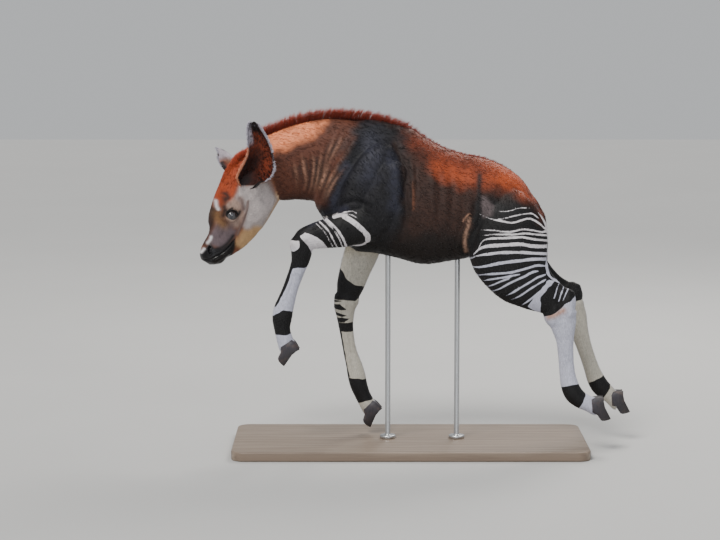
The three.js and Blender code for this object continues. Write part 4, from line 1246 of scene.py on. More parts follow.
def paint(points, normals):
    tint = np.tile(linear("barrel"), (len(points), 1))
    local = toHead(points)
    headSide, onHead = splitHead(points)
    plane = points[:, [0, 2]]
    waver = np.stack([wobble(points, 11.0), wobble(points[:, ::-1], 13.0)], axis=1)
    brushed(tint, plane, 9 * waver, ~onHead | (headSide > -60), bodyTints, bodyStrokes)
    body = tint.copy()
    neck = np.flatnonzero(~onHead & (points[:, 0] < -140) & (points[:, 2] > 700))
    # Painted light on the neck's folds: a pale painted highlight along each crest and painted shade in the
    # groove beside it
    for half, fold in zip(foldHighlightWidths, neckFolds):
        gap, share = lineDistance(plane[neck], smoothLine(fold[2:], 16))
        strength = (0.62 + 0.5 * wobble(points[neck], 24.0)).clip(0.1, 1)
        strength = strength * smoothStep(0, 0.4, share) * smoothStep(1, 0.7, share)
        crest = (np.exp(-((gap / (half + 2.6)) ** 2)) * strength)[:, None] * 0.8
        dark = (np.exp(-(((gap - half - 7.5) / 5) ** 2)) * strength)[:, None] * 0.8
        tint[neck] += (linear("grooveShade") - tint[neck]) * dark
        tint[neck] += (linear("fold") - tint[neck]) * crest
    crestDark = smoothStep(9, 4, abs(points[:, 1])) * (normals[:, 2] > 0.3) * (points[:, 0] > -480) * ~onHead
    tint += (linear("rustDark") - tint) * crestDark[:, None] * 0.85
    tint[onHead] = linear("faceBrown")
    face = local[:, [0, 2]]
    brushed(tint, face, 8 * waver, onHead, headTints, headStrokes)
    for side in (1, -1):
        away = local - np.array(eye["at"]) * (1, side, 1)
        near = onHead & (np.linalg.norm(away, axis=1) < eye["radius"] + 16) & (away[:, 1] * side > -4)
        ring = smoothStep(-5.0, -2.4, eyeOpening(away)[0]) * near
        tint += (linear("nose") - tint) * ring[:, None]
    blend = smoothStep(-48, 0, headSide) * onHead * smoothStep(-62, -30, face[:, 1])
    tint += (body - tint) * blend[:, None]
    # Faces turned downwards are darkened: painted shade on the undersides of the body, neck and upper legs
    shadedUnderside = smoothStep(0.2, 0.8, -normals[:, 2]) * ~onHead * (points[:, 2] > 560)
    tint *= 1 - 0.45 * shadedUnderside[:, None]
    pale = paleField(points, normals)
    for ear in ears.values():
        paintEar(tint, points, normals, ear)
    inward = smoothStep(-0.1, 0.5, -normals[:, 1] * np.sign(points[:, 1]))[:, None]
    light = linear("white") + (linear("cream") - linear("white")) * inward * 0.9
    # Below the body the pale hair is painted darker and bluer: partly its own grey, partly painted shade with
    # a cool cast
    low = smoothStep(640, 560, points[:, 2])[:, None]
    light = light * (1 - low * (0.27, 0.22, 0.10))
    brushed(light, plane, waver, points[:, 1] < 0, [], lightStrokes)
    mottle = 1 + 0.12 * wobble(points, 17.0) + 0.09 * wobble(points[:, ::-1], 5.0)
    return (tint * mottle[:, None]).clip(0, 1), light, pale


def unwrapSkin():
    for obj in bpy.context.selected_objects:
        obj.select_set(False)
    bpy.context.view_layer.objects.active = skin
    skin.select_set(True)
    skin.data.uv_layers.new(name="OFBake")
    bpy.ops.object.mode_set(mode="EDIT")
    bpy.ops.mesh.select_all(action="SELECT")
    bpy.ops.uv.smart_project(angle_limit=math.radians(66), island_margin=0.002)
    bpy.ops.object.mode_set(mode="OBJECT")


skinPoints, skinNormals = pointsOf(skin), normalsOf(skin)
unwrapSkin()
tint, light, pale = paint(skinPoints, skinNormals)
colourAttribute(skin, "tint", tint)
colourAttribute(skin, "light", light)
floatAttribute(skin, "pale", pale)
print("markings painted")

# The way the hair lies: along the middle line of the nearest form, towards the tail and the feet
def flowLines():
    lines = []
    for name, stations in forms.items():
        stations = np.array(stations, float)
        toTail = name in ("torso", "neck", "skull")
        sides = (1, -1) if name in ("shoulder", "upperArm") else (1,)
        place = np.linspace(0, len(stations) - 1, 3 * len(stations))
        for side in sides:
            middle = spline(stations[:, :3], place) * (1, side, 1)
            size = spline(stations[:, 3:6], place).mean(axis=1)
            way = unit(np.gradient(middle, axis=0)) * (-1 if toTail else 1)
            if name == "skull":
                middle, way = fromHead(middle), way @ headTurn.T
            if toTail and name != "skull":
                way = unit(way + (0, 0, -0.35))
            lines.append(np.hstack([middle, way, size[:, None]]))
    for ear in ears.values():
        axis, _, across, length = earAxes(ear)
        share = np.linspace(0.2, 1, 9)[:, None]
        middle = np.array(ear["at"]) + axis * length * share + across * ear["bow"] * np.sin(share * math.pi)
        lines.append(np.hstack([middle, np.tile(axis, (9, 1)), np.full((9, 1), 24.0)]))
    return np.vstack(lines)


flow = flowLines()


def lieAt(points, normals):
    lie = np.empty_like(points)
    for start in range(0, len(points), 8000):
        part = slice(start, start + 8000)
        gap = np.linalg.norm(points[part, None] - flow[None, :, :3], axis=2) / flow[None, :, 6]
        weight = np.exp(-5 * (gap - gap.min(axis=1, keepdims=True)))
        lie[part] = weight @ flow[:, 3:6]
    lie -= (lie * normals).sum(axis=1, keepdims=True) * normals
    return unit(lie)


# Many bent, tapered, three-sided strands as one mesh; each is a small patch of the skin's unwrap
def strandMesh(name, roots, first, second, flat, width, thick, uv, tint, steps=3, taper=1.6):
    t = np.linspace(0, 1, steps)[None, :, None]
    count = len(roots)
    middle = roots[:, None] + first[:, None] * t + second[:, None] * t**2
    side = unit(np.cross(flat, first))[:, None]
    lift = unit(np.cross(first, side[:, 0]))[:, None]
    breadth = 1 - t**taper
    wide, high = width[:, None, None] * breadth, thick[:, None, None] * breadth
    ring = np.stack([middle - side * wide, middle + side * wide, middle + lift * high], axis=2)
    points = np.concatenate([ring[:, :-1].reshape(count, -1, 3), middle[:, -1:]], axis=1)
    each = points.shape[1]
    tip = each - 1
    faces = [(0, 2, 1)]
    for row in range(steps - 2):
        for a, b in ((0, 1), (1, 2), (2, 0)):
            low = 3 * row
            faces += [(low + a, low + b, low + 3 + b), (low + a, low + 3 + b, low + 3 + a)]
    last = 3 * (steps - 2)
    faces += [(last, last + 1, tip), (last + 1, last + 2, tip), (last + 2, last, tip)]
    faces = (np.array(faces)[None] + (np.arange(count) * each)[:, None, None]).reshape(-1, 3)
    obj = makeObject(name, points.reshape(-1, 3), faces)
    along = np.append(np.repeat(t[0, :-1, 0], 3), 1.0)
    across = np.append(np.tile([-1.0, 1.0, 0.0], steps - 1), 0.0)
    patch = 0.0015 * np.stack([across, 2 * along - 1], axis=1)
    vertexUv = (uv[:, None] + patch[None]).reshape(-1, 2)
    layer = obj.data.uv_layers.new(name="OFBake")
    layer.uv.foreach_set("vector", vertexUv[faces.ravel()].astype(np.float32).ravel())
    colourAttribute(obj, "tint", np.repeat(tint, each, axis=0))
    floatAttribute(obj, "share", np.tile(along, count))
    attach(obj, "root")
    return obj


# Everything that a root on the skin needs, sampled from its triangles
def skinTables():
    mesh = skin.data
    mesh.calc_loop_triangles()
    count = len(mesh.loop_triangles)
    corners = np.empty(count * 3, np.int32)
    loops = np.empty(count * 3, np.int32)
    area = np.empty(count, np.float32)
    mesh.loop_triangles.foreach_get("vertices", corners)
    mesh.loop_triangles.foreach_get("loops", loops)
    mesh.loop_triangles.foreach_get("area", area)
    uv = np.empty(len(mesh.loops) * 2, np.float32)
    mesh.uv_layers["OFBake"].uv.foreach_get("vector", uv)
    return corners.reshape(-1, 3), loops.reshape(-1, 3), area / mm**2, uv.reshape(-1, 2)


corners, cornerLoops, triangleArea, skinUv = skinTables()


def rootsOn(density, count=None):
    weight = triangleArea * density[corners].mean(axis=1)
    count = count or int(weight.sum())
    chosen = rng.choice(len(weight), count, p=weight / weight.sum())
    share = rng.dirichlet((1, 1, 1), count)[:, :, None]

    def blend(values):
        values = values if values.ndim > 1 else values[:, None]
        return (values[corners[chosen]] * share).sum(axis=1)

    uv = (skinUv[cornerLoops[chosen]] * share).sum(axis=1)
    return blend(skinPoints), unit(blend(skinNormals)), uv, blend


coat = {"tilt": 13, "tiltVaries": 5, "curl": 0.10, "stray": 0.16, "widthShare": 0.085, "thickShare": 0.05,
        "cover": 0.62, "piece": 19500}
coatLengths = {"body": 10.5, "neck": 10.0, "thigh": 8.5, "leg": 5.6, "foot": 4.4, "face": 4.2, "ear": 5.0}


def coatTables():
    x, y, z = skinPoints.T
    local = toHead(skinPoints)
    onHead = splitHead(skinPoints)[1]
    length = np.full(len(x), coatLengths["body"])
    length += (coatLengths["neck"] - length) * smoothStep(-150, -220, x)
    length += (coatLengths["thigh"] - length) * smoothStep(180, 240, x)
    length += (coatLengths["leg"] - length) * smoothStep(650, 560, z) * ((x < 0) | (x > 330))
    length += (coatLengths["leg"] - length) * ((x < -250) & (z < 715)) * smoothStep(-250, -290, x)
    length += (coatLengths["foot"] - length) * smoothStep(300, 200, z)
    length[onHead] = coatLengths["face"]
    length[onHead] += 4.5 * (smoothStep(150, 110, local[:, 0]) * smoothStep(14, 34, local[:, 2]))[onHead]
    bare = np.zeros(len(x), bool)
    for ear in ears.values():
        here, turn, far = earPlace(skinPoints, ear)[:3]
        onEar = (far < 9) & (here > 0.12) & (abs(turn) < 1.2)
        length[onEar] = coatLengths["ear"]
    eyeGap = headGap(local, eye["at"])
    bare |= eyeGap < eye["radius"] + 2.2
    length = np.where(onHead, np.minimum(length, 1.6 + 0.16 * (eyeGap - eye["radius"]).clip(0)), length)
    nose = onHead & (local[:, 0] > 286) & (patchDepth(local[:, [0, 2]], noseOutline) > 2)
    bare |= nose
    for hoof in hoofs.values():
        near, reach = pastCoronet(skinPoints, hoof)[:2]
        bare |= near & (reach > -0.8)
    for x0 in stand["rods"]:
        bare |= (np.hypot(x - x0, y) < stand["rod"] + 1.5) & (z < 620)
    density = coat["cover"] / (length**2 * coat["widthShare"] * 2)
    return length, np.where(bare, 0, density)


hairLength, hairDensity = coatTables()


def growCoat():
    roots, normals, uv, blend = rootsOn(hairDensity)
    lie = lieAt(roots, normals)
    count = len(roots)
    length = blend(hairLength) * (1 + rng.normal(0, 0.16, (count, 1))).clip(0.5, 1.5)
    length *= 0.62 + 0.38 * smoothStep(1, 8, abs(blend(pale)))
    paleHere = paleField(roots + lie * length * 0.45, normals)[:, None] + rng.normal(0, 0.4, (count, 1))
    colour = np.where(paleHere > 0, blend(light), blend(tint)) * (1 + rng.normal(0, 0.09, (count, 1)))
    colour = colour.clip(0.002, 1)
    lie = unit(lie + np.cross(normals, lie) * rng.normal(0, coat["stray"], (count, 1)))
    tilt = np.radians(coat["tilt"] + rng.normal(0, coat["tiltVaries"], (count, 1))).clip(0.03)
    first = (lie * np.cos(tilt) + normals * np.sin(tilt)) * length
    second = -normals * coat["curl"] * length
    sunk = roots - normals * 0.35
    order = np.argsort(roots[:, 0], kind="stable")
    pieces = []
    for k in range(0, count, coat["piece"]):
        part = order[k : k + coat["piece"]]
        breadth = length[part, 0]
        pieces.append(strandMesh(
            f"coat_{len(pieces) + 1}", sunk[part], first[part], second[part], normals[part],
            breadth * coat["widthShare"], breadth * coat["thickShare"], uv[part], colour[part]))
    print("coat:", count, "tufts in", len(pieces), "pieces")
    return pieces


coatPieces = growCoat()

# Long strands: the mane in an upright row along the crest, forelock, tail tuft, ear fringes and lashes
crest = [
    (-474, 926), (-440, 947), (-390, 961), (-330, 984), (-250, 1000), (-160, 999), (-84, 985), (-16, 958),
    (59, 921), (137, 894), (212, 876), (276, 840), (318, 798),
]
maneHeights = [  # share of the line, share of the full height
    (0, 0.9), (0.12, 1.2), (0.25, 0.98), (0.42, 0.95), (0.55, 1.08), (0.62, 0.66), (0.7, 0.26),
    (0.8, 0.16), (0.87, 0.42), (0.93, 0.66), (0.96, 0.6), (1, 0.2),
]
mane = {"strands": 7400, "high": 30, "wide": 9, "sunk": 11, "lean": 0.34, "width": 0.85, "thick": 0.7}
forelock = {"strands": 2600, "long": 20, "width": 0.8, "thick": 0.85}
tailTuft = {"strands": 900, "long": 62, "width": 1.0, "thick": 0.7, "x": 404, "top": 640, "high": 76}
earFringe = {"strands": 3000, "onRim": 0.72, "whitish": 0.85, "width": 0.7, "thick": 0.4}
lashSet = {"strands": 150, "short": 5, "long": 8, "width": 0.32, "thick": 0.26, "shade": 0.006}


def buildTree():
    tree = kdtree.KDTree(len(skinPoints))
    for k, point in enumerate(skinPoints * mm):
        tree.insert(point, k)
    tree.balance()
    return tree


skinTree = buildTree()
vertexUv = np.zeros((len(skinPoints), 2))
vertexUv[corners.ravel()] = skinUv[cornerLoops.ravel()]


def nearestUv(points):
    return vertexUv[[skinTree.find(Vector(point * mm))[1] for point in points]]


def rustTint(count):
    share = rng.random((count, 1))
    colour = linear("rust") * (1 - share * 0.55) + linear("chestnut") * share * 0.55
    return (colour * (1 + rng.normal(0, 0.16, (count, 1)))).clip(0.002, 1)


def growMane():
    line = smoothLine(crest, 400)
    step = np.append(0, np.cumsum(np.linalg.norm(np.diff(line, axis=0), axis=1)))
    share = rng.random(mane["strands"])
    clump = 0.0006 * np.sin(share * 520) + 0.00018 * np.sin(share * 1370)
    place = np.interp((share + clump).clip(0, 1) * step[-1], step, np.arange(400))
    at = np.stack([np.interp(place, np.arange(400), line[:, k]) for k in (0, 1)], axis=1)
    slope = np.gradient(line, axis=0)
    way = unit(np.stack([np.interp(place, np.arange(400), slope[:, k]) for k in (0, 1)], axis=1))
    lie = np.stack([way[:, 0], 0 * share, way[:, 1]], axis=1)
    out = np.stack([-way[:, 1], 0 * share, way[:, 0]], axis=1)
    high = np.interp(share, *np.array(maneHeights).T)
    aside = rng.normal(0, 0.42, len(share)).clip(-1, 1) * mane["wide"] * (0.45 + 0.55 * high)
    roots = np.stack([at[:, 0], aside, at[:, 1]], axis=1) - out * (mane["sunk"] + abs(aside)[:, None] * 0.25)
    ragged = 0.9 + 0.06 * np.sin(share * 310 + 3 * np.sin(share * 47)) + rng.normal(0, 0.08, len(share))
    length = ((mane["sunk"] + mane["high"] * high) * ragged * (1 - 0.02 * abs(aside)))[:, None]
    splay = np.stack([0 * aside, aside * 0.028 + rng.normal(0, 0.05, len(aside)), 0 * aside], axis=1)
    lean = (0.05 * np.sin(share * 190) + rng.normal(0, 0.07, len(share)))[:, None]
    first = (out + splay + lie * lean) * length
    second = lie * mane["lean"] * length
    keep = high > 0.05
    count = keep.sum()
    return strandMesh("mane", roots[keep], first[keep], second[keep], lie[keep],
                      np.full(count, mane["thick"]), np.full(count, mane["width"]),
                      nearestUv(roots[keep]), rustTint(count), 4, 2.2)


def growForelock():
    along, aside, over = toHead(skinPoints).T
    top = smoothStep(-46, -30, along) * smoothStep(120, 80, along) * (over > 10)
    top = top * smoothStep(32, 10, abs(aside)) * smoothStep(0.2, 0.5, skinNormals @ headTurn[:, 2])
    roots, normals, uv = rootsOn(top, forelock["strands"])[:3]
    count = len(roots)
    fade = smoothStep(90, 0, toHead(roots)[:, :1])
    length = forelock["long"] * (0.32 + 0.68 * fade) * (0.85 + rng.normal(0, 0.16, (count, 1)))
    back = -headTurn[:, 0]
    tufted = 0.22 * wobble(roots, 5.0)[:, None] * headTurn[:, 0]
    tufted = tufted + 0.16 * wobble(roots[:, ::-1], 6.0)[:, None] * headTurn[:, 1]
    out = unit(normals * (0.3 + 0.7 * fade) + back * 0.4 + tufted + rng.normal(0, 0.08, (count, 3)))
    colour = (rustTint(count) * 1.3 * fade + linear("orange") * (1 - fade)).clip(0, 1)
    return strandMesh("forelock", roots - normals, out * length, (back * 0.3 - normals * 0.12) * length,
                      np.tile(headTurn[:, 0], (count, 1)), np.full(count, forelock["thick"]),
                      np.full(count, forelock["width"]), uv, colour, 4, 2.0)


def growTailTuft():
    count = tailTuft["strands"]
    drop = rng.uniform(0, 1, count)
    angle = rng.uniform(0, 2 * math.pi, count)
    aside = np.stack([np.cos(angle), np.sin(angle), 0 * angle], axis=1)
    thick = 7.5 - 2.5 * drop
    low = tailTuft["top"] - tailTuft["high"] * drop
    roots = np.stack([tailTuft["x"] + thick * aside[:, 0], thick * aside[:, 1], low], axis=1)
    length = (tailTuft["long"] * (0.5 + 0.5 * drop) * (0.85 + rng.normal(0, 0.1, count)))[:, None]
    first = (aside * 0.16 + (0, 0, -1)) * length
    second = -aside * 0.10 * length
    colour = np.where(rng.random((count, 1)) < 0.93, linear("black"), linear("chestnut"))
    return strandMesh("tail_tuft", roots - aside * 1.5, first, second, aside,
                      np.full(count, tailTuft["width"]), np.full(count, tailTuft["thick"]),
                      nearestUv(roots), colour, 5, 2.0)


def growEarFringe():
    pieces = []
    for name, ear in ears.items():
        sheet = earGrid(ear)[1]
        axis, opens, across = earAxes(ear)[:3]
        rows, arcs = sheet.shape[:2]
        count = earFringe["strands"]
        row = rng.uniform(rows * 0.1, rows - 1.01, count)
        rim = rng.random(count) < earFringe["onRim"]
        edge = np.where(rng.random(count) < 0.5, 0.4, arcs - 1.4)
        column = np.where(rim, edge, rng.uniform(2, arcs - 3, count))
        column = column + rng.normal(0, 0.35, count).clip(-0.35, 0.35)
        low, left = row.astype(int), column.astype(int)
        down, over = (row - low)[:, None], (column - left)[:, None]
        roots = (sheet[low, left] * (1 - down) * (1 - over) + sheet[low + 1, left] * down * (1 - over)
                 + sheet[low, left + 1] * (1 - down) * over + sheet[low + 1, left + 1] * down * over)
        place = row / (rows - 1) * (len(earProfile) - 1)
        share = np.interp(place, range(len(earProfile)), [station[0] for station in earProfile])
        turn = column / (arcs - 1) * 2 - 1
        inward = np.tile(opens, (count, 1))
        outward = across * np.sign(turn)[:, None]
        # Pale rim strands: partly pale fringe hair, partly a painted sheen of light
        whitish = (share > 0.6) | ((turn > 0) & (share < 0.46) & (share > 0.14))
        pale = rim & (rng.random(count) < earFringe["whitish"]) & whitish
        spread = np.where(pale, 1.1, 0.7)[:, None]
        way = np.where(rim[:, None], outward * spread + inward * 0.15, inward * 0.45 - outward * 0.5)
        way = unit(axis + way + rng.normal(0, 0.2, (count, 3)) + 0.25 * np.sin(place * 14)[:, None] * axis)
        size = np.where(pale, 14, np.where(rim, 9, 14))[:, None] * rng.uniform(0.55, 1.15, (count, 1))
        size = size * (1.1 - 0.35 * share[:, None])
        # Rim strands on the same edge take the painted rim light
        rimLit = rim & (turn < 0) & (share < 0.6)
        colour = np.where(rimLit[:, None], linear("paintedRimLight"), linear("earDarkAndShade") * 1.6)
        colour = np.where(pale[:, None], linear("fringeAndSheen"), colour)
        colour = colour * (1 + rng.normal(0, 0.12, (count, 1)))
        pieces.append(strandMesh("ear_fringe_" + name, roots, way * size, inward * size * 0.12, inward,
                                 np.full(count, earFringe["width"]), np.full(count, earFringe["thick"]),
                                 nearestUv(roots), colour.clip(0, 1), 4, 2))
    return pieces


def growLashes():
    pieces = []
    for side, name in ((1, "lashes_left"), (-1, "lashes_right")):
        count = lashSet["strands"]
        angle = rng.uniform(0.25 - math.pi, -0.25, count)
        slant = math.radians(eye["slant"])
        long, high = eye["long"] * np.cos(angle), eye["high"] * np.sin(angle)
        flat = np.stack([long * math.cos(slant) - high * math.sin(slant),
                         long * math.sin(slant) + high * math.cos(slant)], axis=1) + eye["shift"]
        radius = eye["radius"] + 1.2
        out = np.sqrt((radius**2 - (flat**2).sum(axis=1)).clip(4))
        roots = np.stack([flat[:, 0], out * side, flat[:, 1]], axis=1)
        outward = unit(roots)
        away = unit(np.stack([flat[:, 0], 0 * out, flat[:, 1]], axis=1))
        length = rng.uniform(lashSet["short"], lashSet["long"], (count, 1))
        roots = fromHead(roots + np.array(eye["at"]) * (1, side, 1))
        first = (outward * 0.9 + away * 0.35) @ headTurn.T * length
        second = away @ headTurn.T * length * 0.45
        flat = np.cross(first, outward @ headTurn.T)
        pieces.append(strandMesh(name, roots, first, second, flat, np.full(count, lashSet["width"]),
                                 np.full(count, lashSet["thick"]), nearestUv(roots),
                                 np.full((count, 3), lashSet["shade"]), 4, 2))
    return pieces


longHair = [growMane(), growForelock(), growTailTuft()]
fringes = growEarFringe()
lashes = growLashes()
print("mane, forelock, tail, ears and lashes grown")

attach(skin, "root")
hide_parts("torso", "neck", "head", "tail", "ear_left", "ear_right",
            "leg_fore_left", "leg_fore_right", "leg_hind_left", "leg_hind_right")


# Finishes, all from nodes
def newMaterial(name, **constants):
    material = bpy.data.materials.new(name)
    material.use_nodes = True
    tree = material.node_tree
    shader = tree.nodes["Principled BSDF"]
    for socket, value in constants.items():
        shader.inputs[socket.replace("_", " ")].default_value = value
    return material, tree, shader


def addNode(tree, kind, links=None, **settings):
    node = tree.nodes.new(kind)
    for key, value in settings.items():
        setattr(node, key, value)
    for socket, value in (links or {}).items():
        if isinstance(value, bpy.types.NodeSocket):
            tree.links.new(value, node.inputs[socket])
        else:
            node.inputs[socket].default_value = value
    return node


def attributeOf(tree, name, output="Fac"):
    return addNode(tree, "ShaderNodeAttribute", attribute_name=name).outputs[output]


def scaledPlace(tree, scale):
    place = addNode(tree, "ShaderNodeTexCoord").outputs["Object"]
    return addNode(tree, "ShaderNodeMapping", {"Vector": place, "Scale": scale}).outputs["Vector"]


def noiseAt(tree, scale, detail=3.0, rough=0.55):
    links = {"Vector": scaledPlace(tree, scale), "Scale": 1.0, "Detail": detail, "Roughness": rough}
    return addNode(tree, "ShaderNodeTexNoise", links).outputs["Fac"]


def maths(tree, operation, first, second):
    return addNode(tree, "ShaderNodeMath", {0: first, 1: second}, operation=operation).outputs[0]


def ranged(tree, value, low, high, toLow=0.0, toHigh=1.0):
    links = {"Value": value, "From Min": low, "From Max": high, "To Min": toLow, "To Max": toHigh}
    return addNode(tree, "ShaderNodeMapRange", links).outputs["Result"]


def mixed(tree, share, first, second, blend="MIX"):
    links = {0: share, 6: first, 7: second}
    return addNode(tree, "ShaderNodeMix", links, data_type="RGBA", blend_type=blend).outputs[2]


def mixedValue(tree, share, first, second):
    return addNode(tree, "ShaderNodeMix", {0: share, 2: first, 3: second}, data_type="FLOAT").outputs[0]


def grey(tree, value):
    return addNode(tree, "ShaderNodeCombineColor", {0: value, 1: value, 2: value}).outputs[0]


def bumped(tree, shader, height, strength, distance):
    bump = addNode(tree, "ShaderNodeBump", {"Height": height, "Strength": strength, "Distance": distance})
    tree.links.new(bump.outputs["Normal"], shader.inputs["Normal"])


fur = {"rough": 0.58, "sheen": 0.03, "grainLong": 90.0, "grainFine": 760.0, "bump": 0.5, "bumpDeep": 0.0011}


def furSkinMaterial():
    material, tree, shader = newMaterial(
        "fur_over_skin", Sheen_Weight=fur["sheen"], Sheen_Roughness=0.45, Sheen_Tint=(0.85, 0.88, 1.0, 1.0),
        Specular_IOR_Level=0.28)
    fine, long = fur["grainFine"], fur["grainLong"]
    alongBody = noiseAt(tree, (long, fine, fine))
    alongLeg = noiseAt(tree, (fine, fine, long))
    grain = mixedValue(tree, attributeOf(tree, "legShare"), alongBody, alongLeg)
    ragged = maths(tree, "MULTIPLY", maths(tree, "SUBTRACT", grain, 0.5), 2.2)
    edge = ranged(tree, maths(tree, "ADD", attributeOf(tree, "pale"), ragged), -0.5, 0.5)
    colour = mixed(tree, edge, attributeOf(tree, "tint", "Color"), attributeOf(tree, "light", "Color"))
    depth = ranged(tree, grain, 0.28, 0.72, 0.62, 1.22)
    wet = attributeOf(tree, "wet")
    shade = mixed(tree, 1.0, colour, grey(tree, depth), "MULTIPLY")
    tree.links.new(mixed(tree, wet, shade, colour), shader.inputs["Base Color"])
    tree.links.new(ranged(tree, wet, 0, 1, fur["rough"], 0.24), shader.inputs["Roughness"])
    pores = noiseAt(tree, (420, 420, 420), 2.0)
    bumped(tree, shader, mixedValue(tree, wet, grain, pores), fur["bump"], fur["bumpDeep"])
    return material


def strandMaterial(name, dark, bright, rough, sheen):
    material, tree, shader = newMaterial(
        name, Sheen_Weight=sheen, Sheen_Roughness=0.4, Specular_IOR_Level=0.4)
    share = ranged(tree, attributeOf(tree, "share"), 0.0, 0.8, dark, bright)
    streak = ranged(tree, noiseAt(tree, (130, 130, 130)), 0.3, 0.7, 0.86, 1.14)
    shade = grey(tree, maths(tree, "MULTIPLY", share, streak))
    colour = mixed(tree, 1.0, attributeOf(tree, "tint", "Color"), shade, "MULTIPLY")
    tree.links.new(colour, shader.inputs["Base Color"])
    tree.links.new(ranged(tree, streak, 0.86, 1.14, rough - 0.05, rough + 0.05), shader.inputs["Roughness"])
    return material


def eyeMaterial():
    material, tree, shader = newMaterial("wet_eye", Coat_Weight=1.0, Coat_Roughness=0.02, IOR=1.38)
    across, up = attributeOf(tree, "acrossIris"), attributeOf(tree, "upIris")
    wide = maths(tree, "POWER", maths(tree, "ABSOLUTE", maths(tree, "DIVIDE", across, 0.34), 0.0), 2.0)
    high = maths(tree, "POWER", maths(tree, "ABSOLUTE", maths(tree, "DIVIDE", up, 0.20), 0.0), 2.0)
    pupil = ranged(tree, maths(tree, "ADD", wide, high), 0.8, 1.15, 1.0, 0.0)
    radius = maths(tree, "SQRT", maths(tree, "ADD", maths(tree, "MULTIPLY", across, across),
                                       maths(tree, "MULTIPLY", up, up)), 0.0)
    iris = ranged(tree, radius, 0.60, 0.70, 1.0, 0.0)
    fibres = noiseAt(tree, (900, 900, 900), 4.0)
    brown = mixed(tree, fibres, (0.010, 0.006, 0.005, 1), (0.050, 0.034, 0.028, 1))
    # Bluish grey mixed into the brown iris: a painted reflection on the cornea
    paintedReflection = mixed(tree, ranged(tree, fibres, 0.35, 0.75, 0.1, 0.5), brown, (0.10, 0.12, 0.15, 1))
    irisColour = mixed(tree, pupil, paintedReflection, (0.012, 0.014, 0.020, 1))
    tree.links.new(mixed(tree, iris, (0.020, 0.014, 0.013, 1), irisColour), shader.inputs["Base Color"])
    tree.links.new(ranged(tree, fibres, 0.3, 0.7, 0.04, 0.09), shader.inputs["Roughness"])
    return material


def hornMaterial():
    material, tree, shader = newMaterial("claw_horn", Specular_IOR_Level=0.45)
    height = attributeOf(tree, "wallHeight")
    streak = noiseAt(tree, (520, 520, 60), 4.0)
    growth = maths(tree, "MULTIPLY", height, 2.1)
    rings = addNode(tree, "ShaderNodeMath", {0: growth}, operation="SINE").outputs[0]
    tone = ranged(tree, height, claw["sole"], 8)
    colour = mixed(tree, tone, (0.024, 0.020, 0.022, 1), (0.046, 0.042, 0.052, 1))
    colour = mixed(tree, ranged(tree, streak, 0.35, 0.7, 0.0, 0.7), colour, (0.014, 0.013, 0.017, 1))
    dust = noiseAt(tree, (60, 60, 60), 5.0)
    colour = mixed(tree, ranged(tree, dust, 0.5, 0.75, 0.0, 0.4), colour, (0.13, 0.075, 0.055, 1))
    tree.links.new(colour, shader.inputs["Base Color"])
    tree.links.new(ranged(tree, streak, 0.3, 0.7, 0.34, 0.6), shader.inputs["Roughness"])
    bumped(tree, shader, maths(tree, "ADD", maths(tree, "MULTIPLY", rings, 0.5), streak), 0.45, 0.0006)
    return material


def boardMaterial():
    material, tree, shader = newMaterial("board_oak", Coat_Weight=0.12, Coat_Roughness=0.35)
    warp = noiseAt(tree, (1.6, 7, 7), 3.0)
    grain = noiseAt(tree, (5, 120, 120), 6.0, 0.65)
    wave = {"Vector": scaledPlace(tree, (1.1, 13, 13)), "Scale": 1.0, "Distortion": 4.5, "Detail": 3.0,
            "Detail Scale": 1.2}
    rings = addNode(tree, "ShaderNodeTexWave", wave, bands_direction="Y").outputs["Fac"]
    colour = mixed(tree, ranged(tree, rings, 0.2, 0.9), (0.165, 0.120, 0.088, 1), (0.245, 0.188, 0.142, 1))
    colour = mixed(tree, ranged(tree, grain, 0.45, 0.7, 0.0, 0.6), colour, (0.100, 0.070, 0.050, 1))
    colour = mixed(tree, ranged(tree, warp, 0.3, 0.7, 0.0, 0.25), colour, (0.27, 0.21, 0.16, 1))
    tree.links.new(colour, shader.inputs["Base Color"])
    tree.links.new(ranged(tree, grain, 0.3, 0.7, 0.42, 0.6), shader.inputs["Roughness"])
    bumped(tree, shader, grain, 0.25, 0.0004)
    return material


def steelMaterial():
    material, tree, shader = newMaterial("brushed_steel", Metallic=1.0)
    brushed = noiseAt(tree, (900, 900, 26), 4.0)
    colour = mixed(tree, brushed, (0.46, 0.47, 0.48, 1), (0.60, 0.61, 0.62, 1))
    tree.links.new(colour, shader.inputs["Base Color"])
    tree.links.new(ranged(tree, brushed, 0.3, 0.7, 0.24, 0.38), shader.inputs["Roughness"])
    bumped(tree, shader, brushed, 0.12, 0.0002)
    return material


def floorMaterial():
    material, tree, shader = newMaterial("pale_floor")
    cloud = noiseAt(tree, (1.5, 1.5, 1.5), 4.0)
    colour = mixed(tree, cloud, (0.46, 0.46, 0.455, 1), (0.50, 0.50, 0.495, 1))
    tree.links.new(colour, shader.inputs["Base Color"])
    tree.links.new(ranged(tree, cloud, 0.3, 0.7, 0.7, 0.8), shader.inputs["Roughness"])
    return material


def dress(pieces, material):
    for piece in pieces:
        piece.data.materials.clear()
        piece.data.materials.append(material)


def wetPlaces():
    local = toHead(skinPoints)
    eyeGap = headGap(local, eye["at"])
    rim = smoothStep(eye["radius"] + 2.4, eye["radius"] + 1.2, eyeGap)
    nose = smoothStep(1, 5, patchDepth(local[:, [0, 2]], noseOutline)) * (local[:, 0] > 292)
    front = (skinPoints[:, 0] < -470) & (skinPoints[:, 2] < 760)
    return np.maximum(rim, nose * (skinPoints[:, 2] < 700)) * front


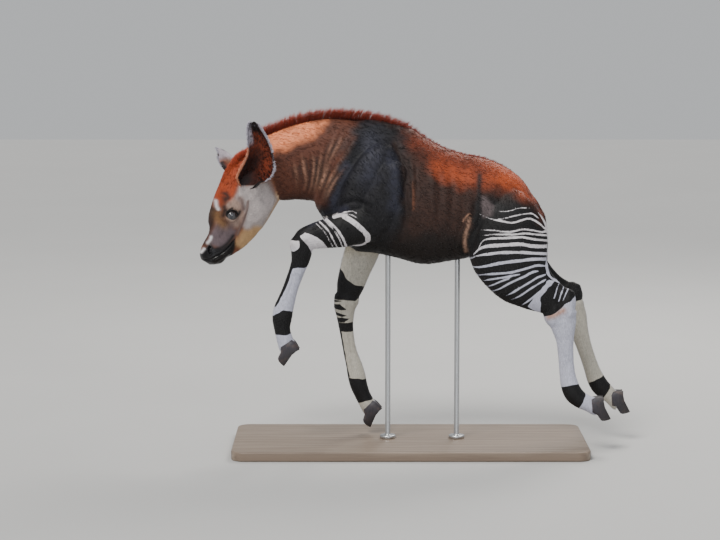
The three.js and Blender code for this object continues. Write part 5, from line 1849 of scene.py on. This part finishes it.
x, y, z = skinPoints.T
legShare = np.maximum(smoothStep(640, 560, z) * ((x < 0) | (x > 330)), smoothStep(-470, -500, x) * 0.8)
floatAttribute(skin, "legShare", legShare)
floatAttribute(skin, "wet", wetPlaces())
dress([skin], furSkinMaterial())
dress(coatPieces, strandMaterial("coat_hair", 0.7, 1.12, 0.52, 0.02))
dress(longHair, strandMaterial("mane_hair", 0.28, 1.25, 0.5, 0.03))
dress(fringes, strandMaterial("ear_hair", 0.8, 1.1, 0.55, 0.03))
dress(lashes, strandMaterial("lash_hair", 1.0, 1.0, 0.35, 0.0))
dress(eyeBalls, eyeMaterial())
dress(claws, hornMaterial())
dress(standPieces[:1], boardMaterial())
dress(standPieces[1:], steelMaterial())

# Studio: a pale floor and three large soft lights
floorHalf = 15000
floorCorners = np.array([(-1, -1, 0), (1, -1, 0), (1, 1, 0), (-1, 1, 0)]) * floorHalf + (0, 0, -0.2)
floor = makeObject("studio_floor", floorCorners, [[0, 1, 2, 3]])
dress([floor], floorMaterial())
lights = {  # kind, where, aimed at, size in metres (or degrees), strength, colour
    "key": ("SUN", (-2.2, -3.6, 5.6), (0, 0, 0.5), 22, 2.9, (1.0, 0.97, 0.92)),
    "rim": ("AREA", (1.4, 2.6, 3.6), (0, 0, 0.8), 1.8, 120, (1.0, 0.96, 0.9)),
    "side": ("AREA", (0.4, -4.4, 1.6), (0, 0, 0.6), 2.4, 42, (0.92, 0.95, 1.0)),
}
for name, (kind, at, aim, size, strength, colour) in lights.items():
    data = bpy.data.lights.new(name, kind)
    data.energy, data.color = strength, colour
    if kind == "SUN":
        data.angle = math.radians(size)
    else:
        data.size = size
    lamp = bpy.data.objects.new(name, data)
    lamp.location = at
    lamp.rotation_euler = (Vector(aim) - Vector(at)).to_track_quat("-Z", "Y").to_euler()
    scene.collection.objects.link(lamp)
world = bpy.data.worlds.new("studio")
scene.world = world
world.use_nodes = True
world.node_tree.nodes["Background"].inputs["Color"].default_value = (0.86, 0.88, 0.90, 1)
world.node_tree.nodes["Background"].inputs["Strength"].default_value = 0.62

shown = [obj for obj in scene.objects if obj.type == "MESH" and not obj.hide_render]
print("triangles shown:", sum(len(face.vertices) - 2 for obj in shown for face in obj.data.polygons))
